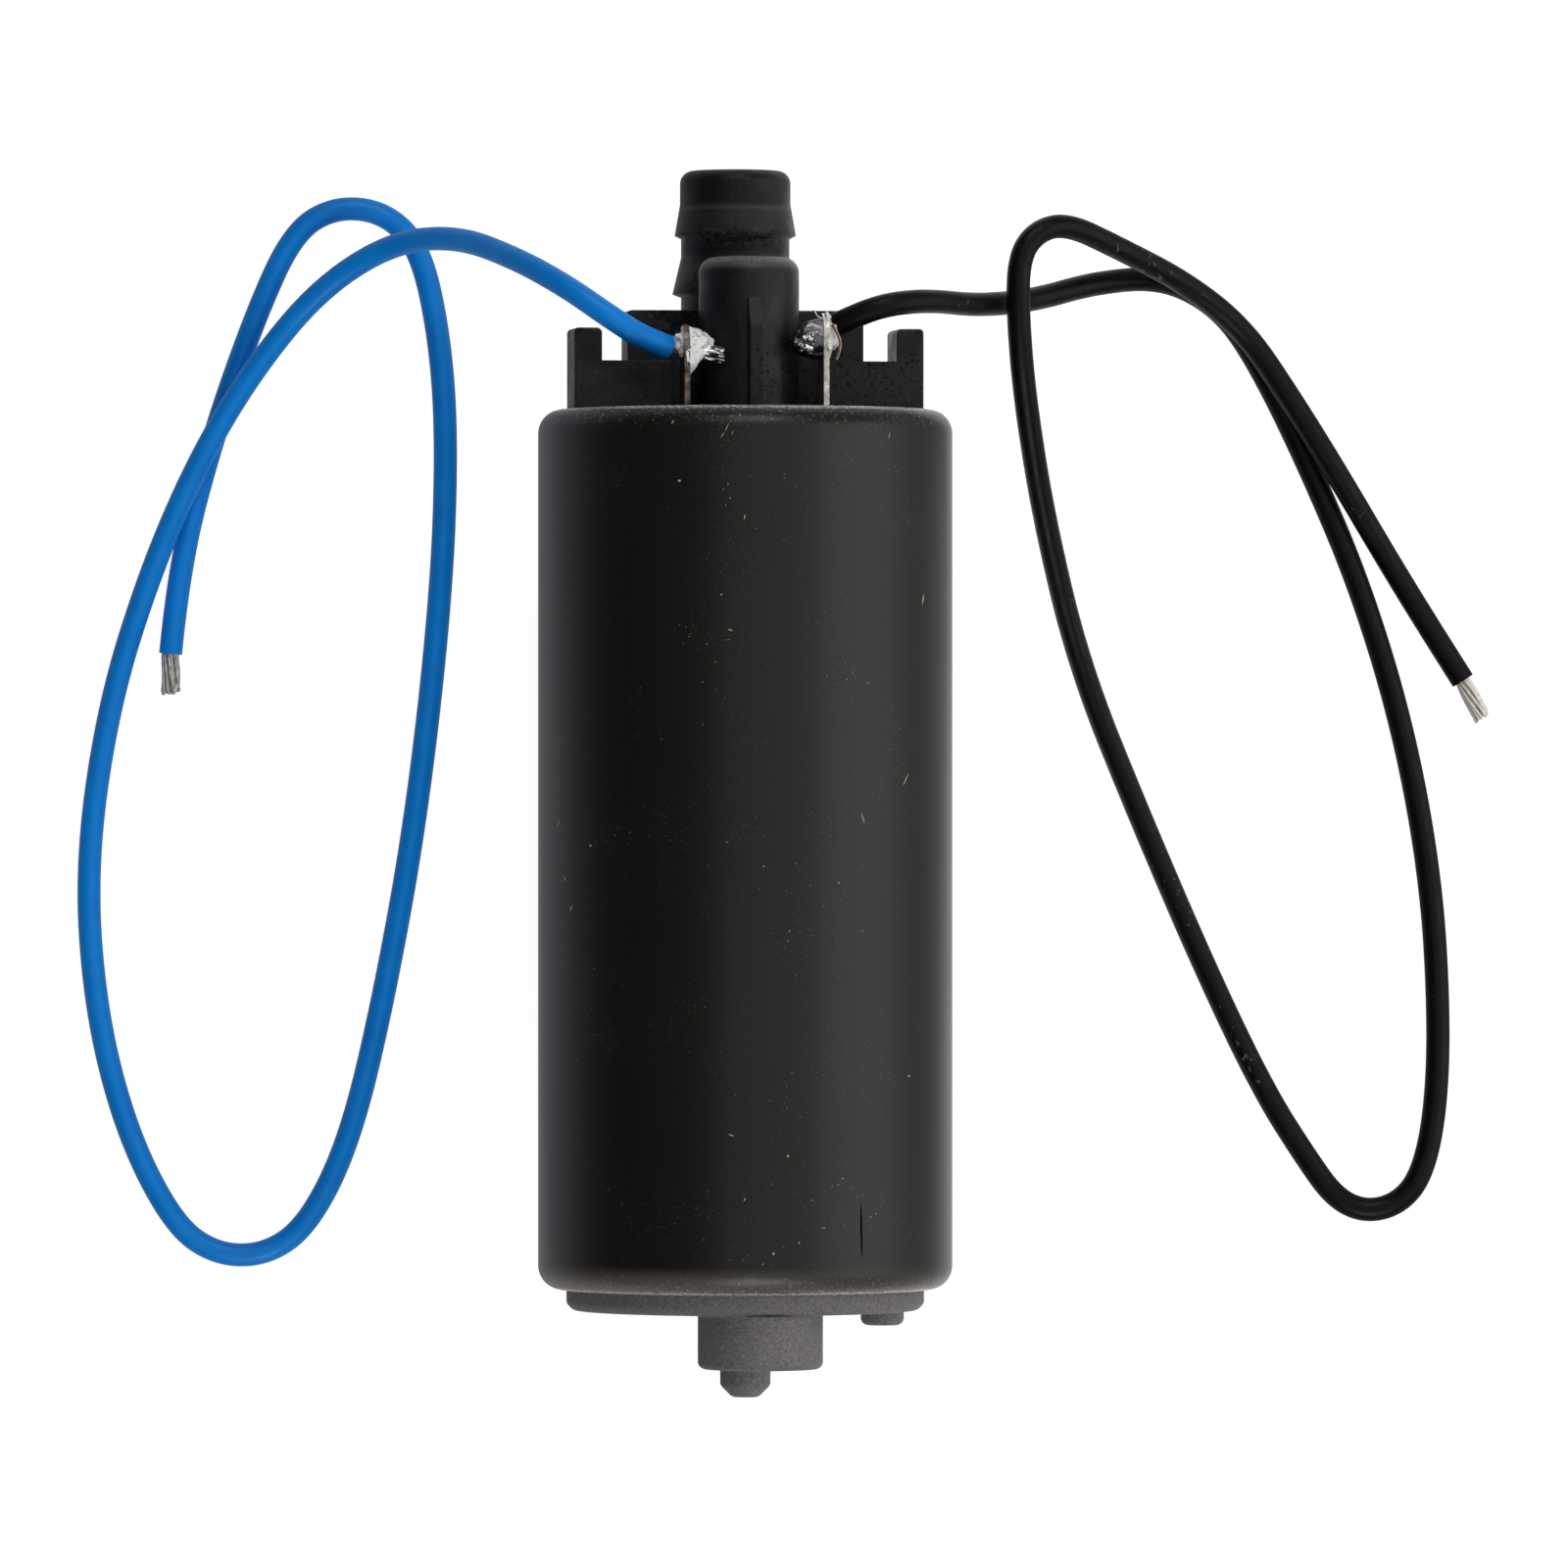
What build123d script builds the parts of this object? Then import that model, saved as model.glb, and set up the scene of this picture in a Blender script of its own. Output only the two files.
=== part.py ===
from build123d import *
from math import cos, degrees, pi, radians, sin, sqrt, tan
import os

# Electric in-tank fuel pump with two soldered leads. Sizes are in millimetres.
# The pump is modelled upright: its axis is Z, the inlet is at the bottom, Z = 0 is the can's lower
# end and the front with the terminals is -Y. laid() then turns it on its side, outlet to +Y.
# The leads' routes are given directly in that lying frame, whose Z = 0 is the floor.

SEATED = (Align.CENTER, Align.CENTER, Align.MIN)

# Lying frame
ROLL_ANGLE = 8.0            # the pump is rolled this far about its axis as it lies
ORIGIN_HEIGHT = 46.3        # height on the pump that comes to the middle of the lying frame

# Fits
SEAT_CLEARANCE = 0.05       # fixed pieces in the can and in each other's bores
RUNNING_CLEARANCE = 0.03    # turning and sliding shafts, radial
BRUSH_CLEARANCE = 0.1       # brush in its bore, each side
MOVING_GAP = 0.3            # between a moving piece and what stands beside it

# Can: drawn tube with both ends rolled in
CAN_RADIUS = 19.0
CAN_LENGTH = 80.6
CAN_WALL = 1.2
CAN_ROLL_RADIUS = 2.2
CAN_LIP = 2.5               # how far the rolled ends reach in over the covers
CAN_OPENING = CAN_RADIUS - CAN_LIP
CAN_INSIDE = CAN_RADIUS - CAN_WALL
SEAT_RADIUS = CAN_INSIDE - SEAT_CLEARANCE
SEAT_CORNER = CAN_ROLL_RADIUS - CAN_WALL + SEAT_CLEARANCE
PLATE_RADIUS = CAN_OPENING - 2 * SEAT_CLEARANCE

# Inlet cover: one casting with the neck, the strainer stud and the locating post
INLET_FLANGE = 4.0
INLET_PLATE_DROP = 1.9
INLET_PLATE_EDGE = 0.6
NECK_RADIUS = 5.7
NECK_LENGTH = 5.0
NECK_EDGE = 0.7
INLET_BORE = 4.0
STUD_RADIUS = 2.32
STUD_LENGTH = 8.0
STUD_CHAMFER = 1.1
LOCATOR_RADIUS = 2.0
LOCATOR_HEIGHT = 1.65
LOCATOR_INSET = 2.4         # the locating post's middle from the plate's edge
LOCATOR_ANGLE = 17.8
LOCATOR_EDGE = 0.4
PLATE_FACE = -INLET_PLATE_DROP
INLET_TOP = CAN_WALL + INLET_FLANGE
NECK_OFFSET = PLATE_RADIUS - INLET_PLATE_EDGE - NECK_RADIUS - SEAT_CLEARANCE
LOCATOR_CIRCLE = PLATE_RADIUS - LOCATOR_INSET

# Impeller: two staggered rows of vanes on a thin web
CASING_WALL = 1.95          # the casing's rim outside the impeller
IMPELLER_THICKNESS = 3.6
IMPELLER_WEB = 0.6
IMPELLER_VANES = 31
VANE_LENGTH = 3.0
VANE_THICKNESS = 0.9
IMPELLER_FACE_GAP = 0.15
BALANCE_HOLES = 4
BALANCE_HOLE_RADIUS = 1.2
BALANCE_CIRCLE = 8.0
CHANNEL_DEPTH = 1.3
CHANNEL_SWEEP = 296.0
INLET_PORT_SWEEP = 36.0     # the channel's start, open to the inlet's bore
RECESS_RADIUS = SEAT_RADIUS - CASING_WALL
IMPELLER_RADIUS = RECESS_RADIUS - MOVING_GAP
IMPELLER_BOTTOM = INLET_TOP + IMPELLER_FACE_GAP
IMPELLER_TOP = IMPELLER_BOTTOM + IMPELLER_THICKNESS
CHANNEL_RADIUS = IMPELLER_RADIUS - VANE_LENGTH / 2
CASING_PORT_RADIUS = 1.3

# Pump casing over the impeller
CASING_ROOF = 4.4
CASING_BOSS_RADIUS = 6.2
CASING_BOSS_HEIGHT = 2.2
RECESS_TOP = IMPELLER_TOP + IMPELLER_FACE_GAP
CASING_TOP = RECESS_TOP + CASING_ROOF
CASING_BOSS_TOP = CASING_TOP + CASING_BOSS_HEIGHT

# Shaft and bearings
SHAFT_RADIUS = 2.0
SHAFT_FLAT = 1.4
SHAFT_END_CHAMFER = 0.3
THRUST_BUTTON_RADIUS = 2.5
THRUST_BUTTON_THICKNESS = 1.2
BUTTON_FLOOR = 1.6          # metal left under the thrust button
END_PLAY = 0.1
BEARING_RADIUS = 3.6
BEARING_LENGTH = 6.0
BUTTON_BOTTOM = PLATE_FACE + BUTTON_FLOOR
BUTTON_TOP = BUTTON_BOTTOM + THRUST_BUTTON_THICKNESS
SHAFT_BOTTOM = BUTTON_TOP + END_PLAY
LOWER_BEARING_TOP = CASING_BOSS_TOP
LOWER_BEARING_BOTTOM = LOWER_BEARING_TOP - BEARING_LENGTH
WASHER_RADIUS = 3.4
WASHER_THICKNESS = 0.5
LOWER_WASHER_BOTTOM = LOWER_BEARING_TOP + MOVING_GAP

# Outlet cover's place in the can
COVER_DEPTH = 15.4          # length inside the can
COVER_STEP = 0.2            # the cover's deck stands this far below the can's rim
COVER_TOP = CAN_LENGTH - CAN_WALL
COVER_BOTTOM = COVER_TOP - COVER_DEPTH
DECK = CAN_LENGTH - COVER_STEP

# Commutator: flat disc facing the outlet
COMMUTATOR_RADIUS = 11.2
COMMUTATOR_HUB_THICKNESS = 2.2
COMMUTATOR_THICKNESS = 2.4
COMMUTATOR_SLOT = 0.6
COMMUTATOR_SLOT_DEPTH = 1.6
COMMUTATOR_EYE = 4.0
COMMUTATOR_GAP = 2.4        # from the commutator's face to the cover
COMMUTATOR_FACE = COVER_BOTTOM - COMMUTATOR_GAP
COMMUTATOR_SEAT = COMMUTATOR_FACE - COMMUTATOR_THICKNESS
COMMUTATOR_BASE = COMMUTATOR_SEAT - COMMUTATOR_HUB_THICKNESS

# Armature: slotted stack, coils, end insulators
ARMATURE_RADIUS = 12.0
ARMATURE_TEETH = 8
TOOTH_WIDTH = 3.0
TOOTH_TIP = 1.3
SLOT_OPENING = 1.6
HUB_RADIUS = 5.2
SLOT_LINING = 0.2
INSULATOR_THICKNESS = 0.8
COIL_HEAD = 4.6
COIL_GAP_LOW = 1.1          # from the lower washer to the coils
COIL_GAP_HIGH = 0.6         # from the coils to the commutator's carrier
ARMATURE_START = LOWER_WASHER_BOTTOM + WASHER_THICKNESS + COIL_GAP_LOW + COIL_HEAD + INSULATOR_THICKNESS
ARMATURE_END = COMMUTATOR_BASE - COIL_GAP_HIGH - COIL_HEAD - INSULATOR_THICKNESS
COIL_OUTSIDE = ARMATURE_RADIUS - TOOTH_TIP - SLOT_LINING
COIL_INSIDE = HUB_RADIUS + SLOT_LINING

# Magnets and the clips that spread them
AIR_GAP = 0.6
MAGNET_OVERHANG = 5.0       # how far the magnets pass the stack at each end
MAGNET_SWEEP = 144.0
CLIP_THICKNESS = 0.5
CLIP_LEG = 2.6
MAGNET_INSIDE = ARMATURE_RADIUS + AIR_GAP
MAGNET_BOTTOM = ARMATURE_START - MAGNET_OVERHANG
MAGNET_TOP = ARMATURE_END + MAGNET_OVERHANG
MAGNET_LENGTH = MAGNET_TOP - MAGNET_BOTTOM

# Outlet cover: one moulding, with the brush bores, the barb and the relief valve boss
BRIDGE_HALF_DEPTH = 3.0
BRIDGE_HEIGHT = 4.4
POST_HEIGHT = 7.4
POST_WIDTH = 2.54
WALL_HALF_LENGTH = 10.9
WALL_HEIGHT = 9.1
WALL_FRONT = -0.3
WALL_BACK = 4.2
RECESS_HALF_LENGTH = 7.2
BRIDGE_INSET = 0.25         # the end posts' outer faces from the deck's edge
BRIDGE_HALF_LENGTH = PLATE_RADIUS - BRIDGE_INSET

# Upper bearing
UPPER_BEARING_INSET = 0.4
UPPER_BEARING_BOTTOM = COVER_BOTTOM + UPPER_BEARING_INSET
UPPER_BEARING_TOP = UPPER_BEARING_BOTTOM + BEARING_LENGTH
SHAFT_TOP = UPPER_BEARING_TOP - MOVING_GAP
BEARING_BORE_TOP = UPPER_BEARING_TOP + MOVING_GAP

# Hose barb
BARB_Y = 6.8
BARB_HEIGHT = 22.2          # from the can's rim to the tip
BARB_TIP_RADIUS = 5.1
BARB_TIP_LENGTH = 3.1
BARB_FLARE_LENGTH = 2.9
BARB_FLARE_RADIUS = 5.6
BARB_NECK_RADIUS = 5.0
BARB_NECK_LENGTH = 1.7
BARB_SECOND_RADIUS = 5.8
BARB_SECOND_LENGTH = 3.4
BARB_STEP = 0.3
BARB_EDGE = 1.2
OUTLET_BORE = 3.4
OUTLET_MOUTH = 3.7          # the bore's wider end, above the valve's guide
MOUTH_STEP = 0.6            # the wider end begins this far above the guide
PASSAGE_RADIUS = 2.2
VALVE_SEAT_DROP = 1.6       # the valve's seat lies this far below the rim
BARB_TIP = CAN_LENGTH + BARB_HEIGHT
SEAT_HEIGHT = CAN_LENGTH - VALVE_SEAT_DROP

# Check valve in the barb
POPPET_RADIUS = 2.9
POPPET_THICKNESS = 1.4
POPPET_STEM_RADIUS = 0.9
POPPET_TRAVEL = 2.5
SEAL_THICKNESS = 0.7
CHECK_SPRING_RADIUS = 2.0
CHECK_SPRING_WIRE = 0.35
CHECK_SPRING_TURNS = 4
CHECK_SPRING_LENGTH = 9.0
GUIDE_THICKNESS = 1.4
GUIDE_HOLE_CIRCLE = 2.2
GUIDE_HOLE_RADIUS = 0.75
GUIDE_HOLES = 4
POPPET_FACE = SEAT_HEIGHT + SEAL_THICKNESS
POPPET_BACK = POPPET_FACE + POPPET_THICKNESS
GUIDE_BOTTOM = POPPET_BACK + CHECK_SPRING_LENGTH
GUIDE_TOP = GUIDE_BOTTOM + GUIDE_THICKNESS

# Relief valve in the front boss
BOSS_Y = -2.4
BOSS_RADIUS = 4.6
BOSS_HEIGHT = 13.9
BOSS_EDGE = 1.5
RIB_WIDTH = 1.4
RIB_DEPTH = 1.3
RIB_HEIGHT = 10.0
RIB_SLOPE = 2.4
RELIEF_PASSAGE_Y = -6.0
RELIEF_PASSAGE_RADIUS = 1.0
RELIEF_FLOOR = 1.1          # wall between the bearing's bore and the relief valve's cross slot
RELIEF_SLOT_HEIGHT = 1.4
RELIEF_SEAT_RADIUS = 1.1
RELIEF_SEAT_LENGTH = 1.5
RELIEF_BALL_RADIUS = 2.0
RELIEF_TRAVEL = 1.5
RELIEF_SPRING_RADIUS = 1.6
RELIEF_SPRING_WIRE = 0.4
RELIEF_SPRING_TURNS = 4
PLUG_RADIUS = 2.75
PLUG_THICKNESS = 2.4
PLUG_INSET = 0.2
VENT_RADIUS = 0.8
BOSS_TOP = CAN_LENGTH + BOSS_HEIGHT
RELIEF_SLOT_BOTTOM = BEARING_BORE_TOP + RELIEF_FLOOR
RELIEF_SLOT_TOP = RELIEF_SLOT_BOTTOM + RELIEF_SLOT_HEIGHT
RELIEF_SEAT = RELIEF_SLOT_TOP + RELIEF_SEAT_LENGTH
RELIEF_BORE = RELIEF_BALL_RADIUS + BRUSH_CLEARANCE
BALL_HEIGHT = RELIEF_SEAT + sqrt(RELIEF_BALL_RADIUS ** 2 - RELIEF_SEAT_RADIUS ** 2)
PLUG_BOTTOM = BOSS_TOP - PLUG_INSET - PLUG_THICKNESS

# Brushes, their springs and shunts
BRUSH_X = 8.8
BRUSH_WIDTH = 4.4
BRUSH_DEPTH = 3.8
BRUSH_LENGTH = 8.0
BRUSH_SPRING_RADIUS = 1.6
BRUSH_SPRING_WIRE = 0.35
BRUSH_SPRING_TURNS = 4
SHUNT_RADIUS = 0.4
BRUSH_TOP = COMMUTATOR_FACE + BRUSH_LENGTH

# Terminals: stamped tinned blades moulded into the cover, with an eye for the lead
BLADE_X = 6.4
BLADE_Y = -6.2
BLADE_THICKNESS = 0.5
BLADE_WIDTH = 3.6
EYE_RADIUS = 1.0
FOOT_REACH = 2.0            # how far the terminal's foot goes past the middle of the brush
EYE_HEIGHT_LEFT = 5.8       # above the can's rim
EYE_HEIGHT_RIGHT = 6.85
FOOT_TOP = COVER_TOP - 0.3
FOOT_BOTTOM = FOOT_TOP - BLADE_THICKNESS

# Cover seal
SEAL_HEIGHT = 1.8
SEAL_DEPTH = 1.2
SEAL_FROM_TOP = 4.2

# Leads
LEAD_DIAMETER = 2.0
LEAD_SIDES = 8              # the tube's section is a polygon of the round lead's area
STRAND_RADIUS = 0.62
TAIL_REACH = 0.9            # how far the bare wire goes on past the middle of the eye
SOLDER_RADIUS = 1.5
SOLDER_LENGTH = 1.9


def laid(shape):
    """Turns a piece of the upright pump on its side, as the pump lies on the floor."""
    return Pos(0, -ORIGIN_HEIGHT, CAN_RADIUS) * Rot(X=-90) * Rot(Z=ROLL_ANGLE) * shape


def rod(radius, bottom, top, x=0.0, y=0.0):
    """An upright cylinder between two heights."""
    return Pos(x, y, bottom) * Cylinder(radius, top - bottom, align=SEATED)


def block(left, right, front, back, bottom, top):
    """An upright block between six faces."""
    centre = Pos((left + right) / 2, (front + back) / 2, bottom)
    return centre * Box(right - left, back - front, top - bottom, align=SEATED)


def ring(outside, inside, bottom, top, x=0.0, y=0.0):
    """An upright tube between two heights."""
    return rod(outside, bottom, top, x, y) - rod(inside, bottom - 1, top + 1, x, y)


def lower_circles(shape):
    """The round edges at the lowest height of a shape."""
    return shape.edges().filter_by(GeomType.CIRCLE).group_by(Axis.Z)[0]


def upper_circles(shape):
    """The round edges at the greatest height of a shape."""
    return shape.edges().filter_by(GeomType.CIRCLE).group_by(Axis.Z)[-1]


def coil_spring(radius, wire, turns, bottom, top, x=0.0, y=0.0):
    """A compression spring of square wire, wound as one helix between two heights."""
    pitch = (top - bottom - wire) / turns
    path = Helix(pitch, pitch * turns, radius)
    section = Plane(path @ 0, z_dir=path % 0) * Rectangle(wire, wire)
    return Pos(x, y, bottom + wire / 2) * sweep(section, path, is_frenet=True)


def can():
    """Drawn steel tube with both ends rolled in over the covers."""
    shell = rod(CAN_RADIUS, 0, CAN_LENGTH)
    shell = fillet(shell.edges().filter_by(GeomType.CIRCLE), CAN_ROLL_RADIUS)
    hollow = rod(CAN_INSIDE, CAN_WALL, CAN_LENGTH - CAN_WALL)
    hollow = chamfer(hollow.edges().filter_by(GeomType.CIRCLE), CAN_ROLL_RADIUS - CAN_WALL)
    return shell - hollow - rod(CAN_OPENING, -1, CAN_LENGTH + 1)


def side_channel(face, depth):
    """The groove that the vanes run past, from the inlet nearly all the way round."""
    span = ring(CHANNEL_RADIUS + VANE_LENGTH / 2, CHANNEL_RADIUS - VANE_LENGTH / 2, 0, abs(depth))
    reach = 2 * IMPELLER_RADIUS
    rest = 360.0 - CHANNEL_SWEEP
    lines = Polyline((0, 0), (reach * sin(radians(rest / 2)), -reach * cos(radians(rest / 2))),
                     (-reach * sin(radians(rest / 2)), -reach * cos(radians(rest / 2))), close=True)
    stopper = Rot(Z=(rest + INLET_PORT_SWEEP) / 2) * extrude(make_face(lines), abs(depth))
    return Pos(0, 0, face + min(depth, 0)) * (span - stopper)


def inlet_cover():
    """Cast cover with the inlet neck, the stud for the strainer and the locating post."""
    flange = rod(SEAT_RADIUS, CAN_WALL, INLET_TOP)
    flange = chamfer(lower_circles(flange), SEAT_CORNER)
    plate = rod(PLATE_RADIUS, PLATE_FACE, CAN_WALL + INLET_FLANGE / 2)
    plate = chamfer(lower_circles(plate), INLET_PLATE_EDGE)
    neck = rod(NECK_RADIUS, PLATE_FACE - NECK_LENGTH, CAN_WALL, 0, -NECK_OFFSET)
    neck = fillet(lower_circles(neck), NECK_EDGE)
    stud = rod(STUD_RADIUS, PLATE_FACE - STUD_LENGTH, CAN_WALL)
    stud = chamfer(lower_circles(stud), STUD_CHAMFER)
    locator_x = LOCATOR_CIRCLE * cos(radians(LOCATOR_ANGLE))
    locator_y = LOCATOR_CIRCLE * sin(radians(LOCATOR_ANGLE))
    locator = rod(LOCATOR_RADIUS, PLATE_FACE - LOCATOR_HEIGHT, CAN_WALL, locator_x, locator_y)
    locator = chamfer(lower_circles(locator), LOCATOR_EDGE)
    bore = rod(INLET_BORE, PLATE_FACE - NECK_LENGTH - 1, INLET_TOP - CHANNEL_DEPTH, 0, -NECK_OFFSET)
    pocket = rod(THRUST_BUTTON_RADIUS + SEAT_CLEARANCE, BUTTON_BOTTOM, INLET_TOP + 1)
    body = flange + plate + neck + stud + locator
    return body - bore - pocket - side_channel(INLET_TOP, -CHANNEL_DEPTH)


def thrust_button():
    """Hard disc that carries the shaft's end."""
    return rod(THRUST_BUTTON_RADIUS, BUTTON_BOTTOM, BUTTON_TOP)


def shaft_profile(radius, bottom, top, clearance=0.0):
    """The shaft's driving length, a round with one flat."""
    flat = SHAFT_FLAT + clearance
    side = block(flat, 2 * radius, -radius, radius, bottom - 1, top + 1)
    return rod(radius + clearance, bottom, top) - side


def vane_pockets(bottom, top, turn):
    """One row of the pockets that are left between the vanes."""
    pitch = 2 * pi * CHANNEL_RADIUS / IMPELLER_VANES
    inner = IMPELLER_RADIUS - VANE_LENGTH
    pocket = block(inner, IMPELLER_RADIUS + 1, -(pitch - VANE_THICKNESS) / 2,
                   (pitch - VANE_THICKNESS) / 2, bottom, top)
    step = 360.0 / IMPELLER_VANES
    return [Rot(Z=(number + turn) * step) * pocket for number in range(IMPELLER_VANES)]


def impeller():
    """Moulded impeller with a row of vanes on each face, driven by the shaft's flat."""
    middle = (IMPELLER_BOTTOM + IMPELLER_TOP) / 2
    disc = rod(IMPELLER_RADIUS, IMPELLER_BOTTOM, IMPELLER_TOP)
    lower = vane_pockets(IMPELLER_BOTTOM - 1, middle - IMPELLER_WEB / 2, 0)
    upper = vane_pockets(middle + IMPELLER_WEB / 2, IMPELLER_TOP + 1, 0.5)
    step = 360.0 / BALANCE_HOLES
    hole = rod(BALANCE_HOLE_RADIUS, IMPELLER_BOTTOM - 1, IMPELLER_TOP + 1, BALANCE_CIRCLE)
    holes = [Rot(Z=number * step) * hole for number in range(BALANCE_HOLES)]
    bore = shaft_profile(SHAFT_RADIUS, IMPELLER_BOTTOM - 1, IMPELLER_TOP + 1, SEAT_CLEARANCE)
    return disc - lower - upper - holes - bore


def pump_casing():
    """Casing over the impeller, with its side channel, outlet port and lower bearing's boss."""
    body = rod(SEAT_RADIUS, INLET_TOP, CASING_TOP)
    body += rod(CASING_BOSS_RADIUS, CASING_TOP - 1, CASING_BOSS_TOP)
    recess = rod(RECESS_RADIUS, INLET_TOP - 1, RECESS_TOP)
    bearing = rod(BEARING_RADIUS + SEAT_CLEARANCE, LOWER_BEARING_BOTTOM, CASING_BOSS_TOP + 1)
    clear = rod(SHAFT_RADIUS + MOVING_GAP, RECESS_TOP - 1, CASING_BOSS_TOP + 1)
    angle = radians(-90 + 360 - CHANNEL_SWEEP + INLET_PORT_SWEEP / 2 + 8)
    port = rod(CASING_PORT_RADIUS, RECESS_TOP, CASING_TOP + 1,
               CHANNEL_RADIUS * cos(angle), CHANNEL_RADIUS * sin(angle))
    return body - recess - bearing - clear - port - side_channel(RECESS_TOP, CHANNEL_DEPTH)


def bearing(bottom):
    """Plain bearing bush."""
    return ring(BEARING_RADIUS, SHAFT_RADIUS + RUNNING_CLEARANCE, bottom, bottom + BEARING_LENGTH)


def shaft():
    """Ground steel shaft, with the flat that drives the impeller at its lower end."""
    bar = rod(SHAFT_RADIUS, SHAFT_BOTTOM, SHAFT_TOP)
    bar = chamfer(bar.edges().filter_by(GeomType.CIRCLE), SHAFT_END_CHAMFER)
    side = block(SHAFT_FLAT, 2 * SHAFT_RADIUS, -SHAFT_RADIUS, SHAFT_RADIUS,
                 SHAFT_BOTTOM - 1, IMPELLER_TOP)
    return bar - side


def thrust_washer(bottom):
    """Washer between the turning stack of pieces and a bearing."""
    return ring(WASHER_RADIUS, SHAFT_RADIUS + SEAT_CLEARANCE, bottom, bottom + WASHER_THICKNESS)


def slot_sketch(inset):
    """The slots between the armature's teeth, drawn in by an inset on every side."""
    space = Circle(ARMATURE_RADIUS - TOOTH_TIP - inset) - Circle(HUB_RADIUS + inset)
    tooth = Pos(ARMATURE_RADIUS / 2, 0) * Rectangle(ARMATURE_RADIUS, TOOTH_WIDTH + 2 * inset)
    step = 360.0 / ARMATURE_TEETH
    return space - [Rot(Z=number * step) * tooth for number in range(ARMATURE_TEETH)]


def slot_mouths():
    """The narrow openings of the slots in the armature's round face."""
    step = 360.0 / ARMATURE_TEETH
    mouth = Pos(ARMATURE_RADIUS, 0) * Rectangle(2 * TOOTH_TIP + 1, SLOT_OPENING)
    return [Rot(Z=(number + 0.5) * step) * mouth for number in range(ARMATURE_TEETH)]


def slotted_disc(bottom, top):
    """A slice of the armature with its teeth, slots and shaft bore."""
    face = Circle(ARMATURE_RADIUS) - slot_sketch(0) - slot_mouths()
    face = face - Circle(SHAFT_RADIUS + SEAT_CLEARANCE)
    return Pos(0, 0, bottom) * extrude(face, top - bottom)


def coil_head(bottom, rise):
    """The rounded ring of wire where the coils pass over one end of the stack."""
    band = ring(COIL_OUTSIDE, COIL_INSIDE, bottom, bottom + COIL_HEAD)
    edges = upper_circles(band) if rise > 0 else lower_circles(band)
    return chamfer(edges, (COIL_OUTSIDE - COIL_INSIDE) * 0.3)


def armature_windings():
    """All the coils: a bundle in each slot and a rounded head over each end of the stack."""
    low = ARMATURE_START - INSULATOR_THICKNESS
    high = ARMATURE_END + INSULATOR_THICKNESS
    bundles = Pos(0, 0, low - 0.5) * extrude(slot_sketch(SLOT_LINING), high - low + 1)
    return bundles + coil_head(low - COIL_HEAD, -1) + coil_head(high, 1)


def end_insulator(bottom):
    """Moulded insulator between the stack and the coils' heads, with the stack's outline."""
    return slotted_disc(bottom, bottom + INSULATOR_THICKNESS)


def commutator_hub():
    """Moulded carrier of the commutator, with the collar that grips the shaft."""
    disc = rod(COMMUTATOR_RADIUS, COMMUTATOR_BASE, COMMUTATOR_SEAT)
    collar = rod(COMMUTATOR_EYE - SEAT_CLEARANCE, ARMATURE_END + INSULATOR_THICKNESS, COMMUTATOR_FACE)
    bore = rod(SHAFT_RADIUS + SEAT_CLEARANCE, ARMATURE_END, COMMUTATOR_FACE + 1)
    return disc + collar - bore


def commutator():
    """Flat commutator, its segments parted by slots."""
    disc = ring(COMMUTATOR_RADIUS, COMMUTATOR_EYE, COMMUTATOR_SEAT, COMMUTATOR_FACE)
    slot = block(0, COMMUTATOR_RADIUS + 1, -COMMUTATOR_SLOT / 2, COMMUTATOR_SLOT / 2,
                 COMMUTATOR_FACE - COMMUTATOR_SLOT_DEPTH, COMMUTATOR_FACE + 1)
    step = 360.0 / ARMATURE_TEETH
    return disc - [Rot(Z=(number + 0.5) * step) * slot for number in range(ARMATURE_TEETH)]


def wedge(half_angle, reach, height):
    """A sector about the axis, opening towards +X."""
    side = radians(half_angle)
    lines = Polyline((0, 0), (reach * cos(side), -reach * sin(side)), (reach, 0),
                     (reach * cos(side), reach * sin(side)), close=True)
    return extrude(make_face(lines), height)


def magnet(turn):
    """One of the two ferrite arcs of the field, seated on the can's wall."""
    band = ring(SEAT_RADIUS, MAGNET_INSIDE, MAGNET_BOTTOM, MAGNET_TOP)
    sector = Pos(0, 0, MAGNET_BOTTOM) * wedge(MAGNET_SWEEP / 2, 4 * CAN_RADIUS, MAGNET_LENGTH)
    return Rot(Z=turn) * (band & sector)


def magnet_clip(turn):
    """Bent spring strip that pushes the two magnets apart."""
    gap = 90 - MAGNET_SWEEP / 2
    sector = wedge(gap, 4 * CAN_RADIUS, MAGNET_LENGTH)
    strip = ring(SEAT_RADIUS, SEAT_RADIUS - CLIP_THICKNESS, 0, MAGNET_LENGTH) & sector
    for side in (-1, 1):
        leg = block(SEAT_RADIUS - CLIP_LEG, SEAT_RADIUS, -CLIP_THICKNESS, CLIP_THICKNESS,
                    0, MAGNET_LENGTH)
        strip += Rot(Z=side * gap) * leg & sector & rod(SEAT_RADIUS, 0, MAGNET_LENGTH)
    return Pos(0, 0, MAGNET_BOTTOM) * Rot(Z=turn) * strip


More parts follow.
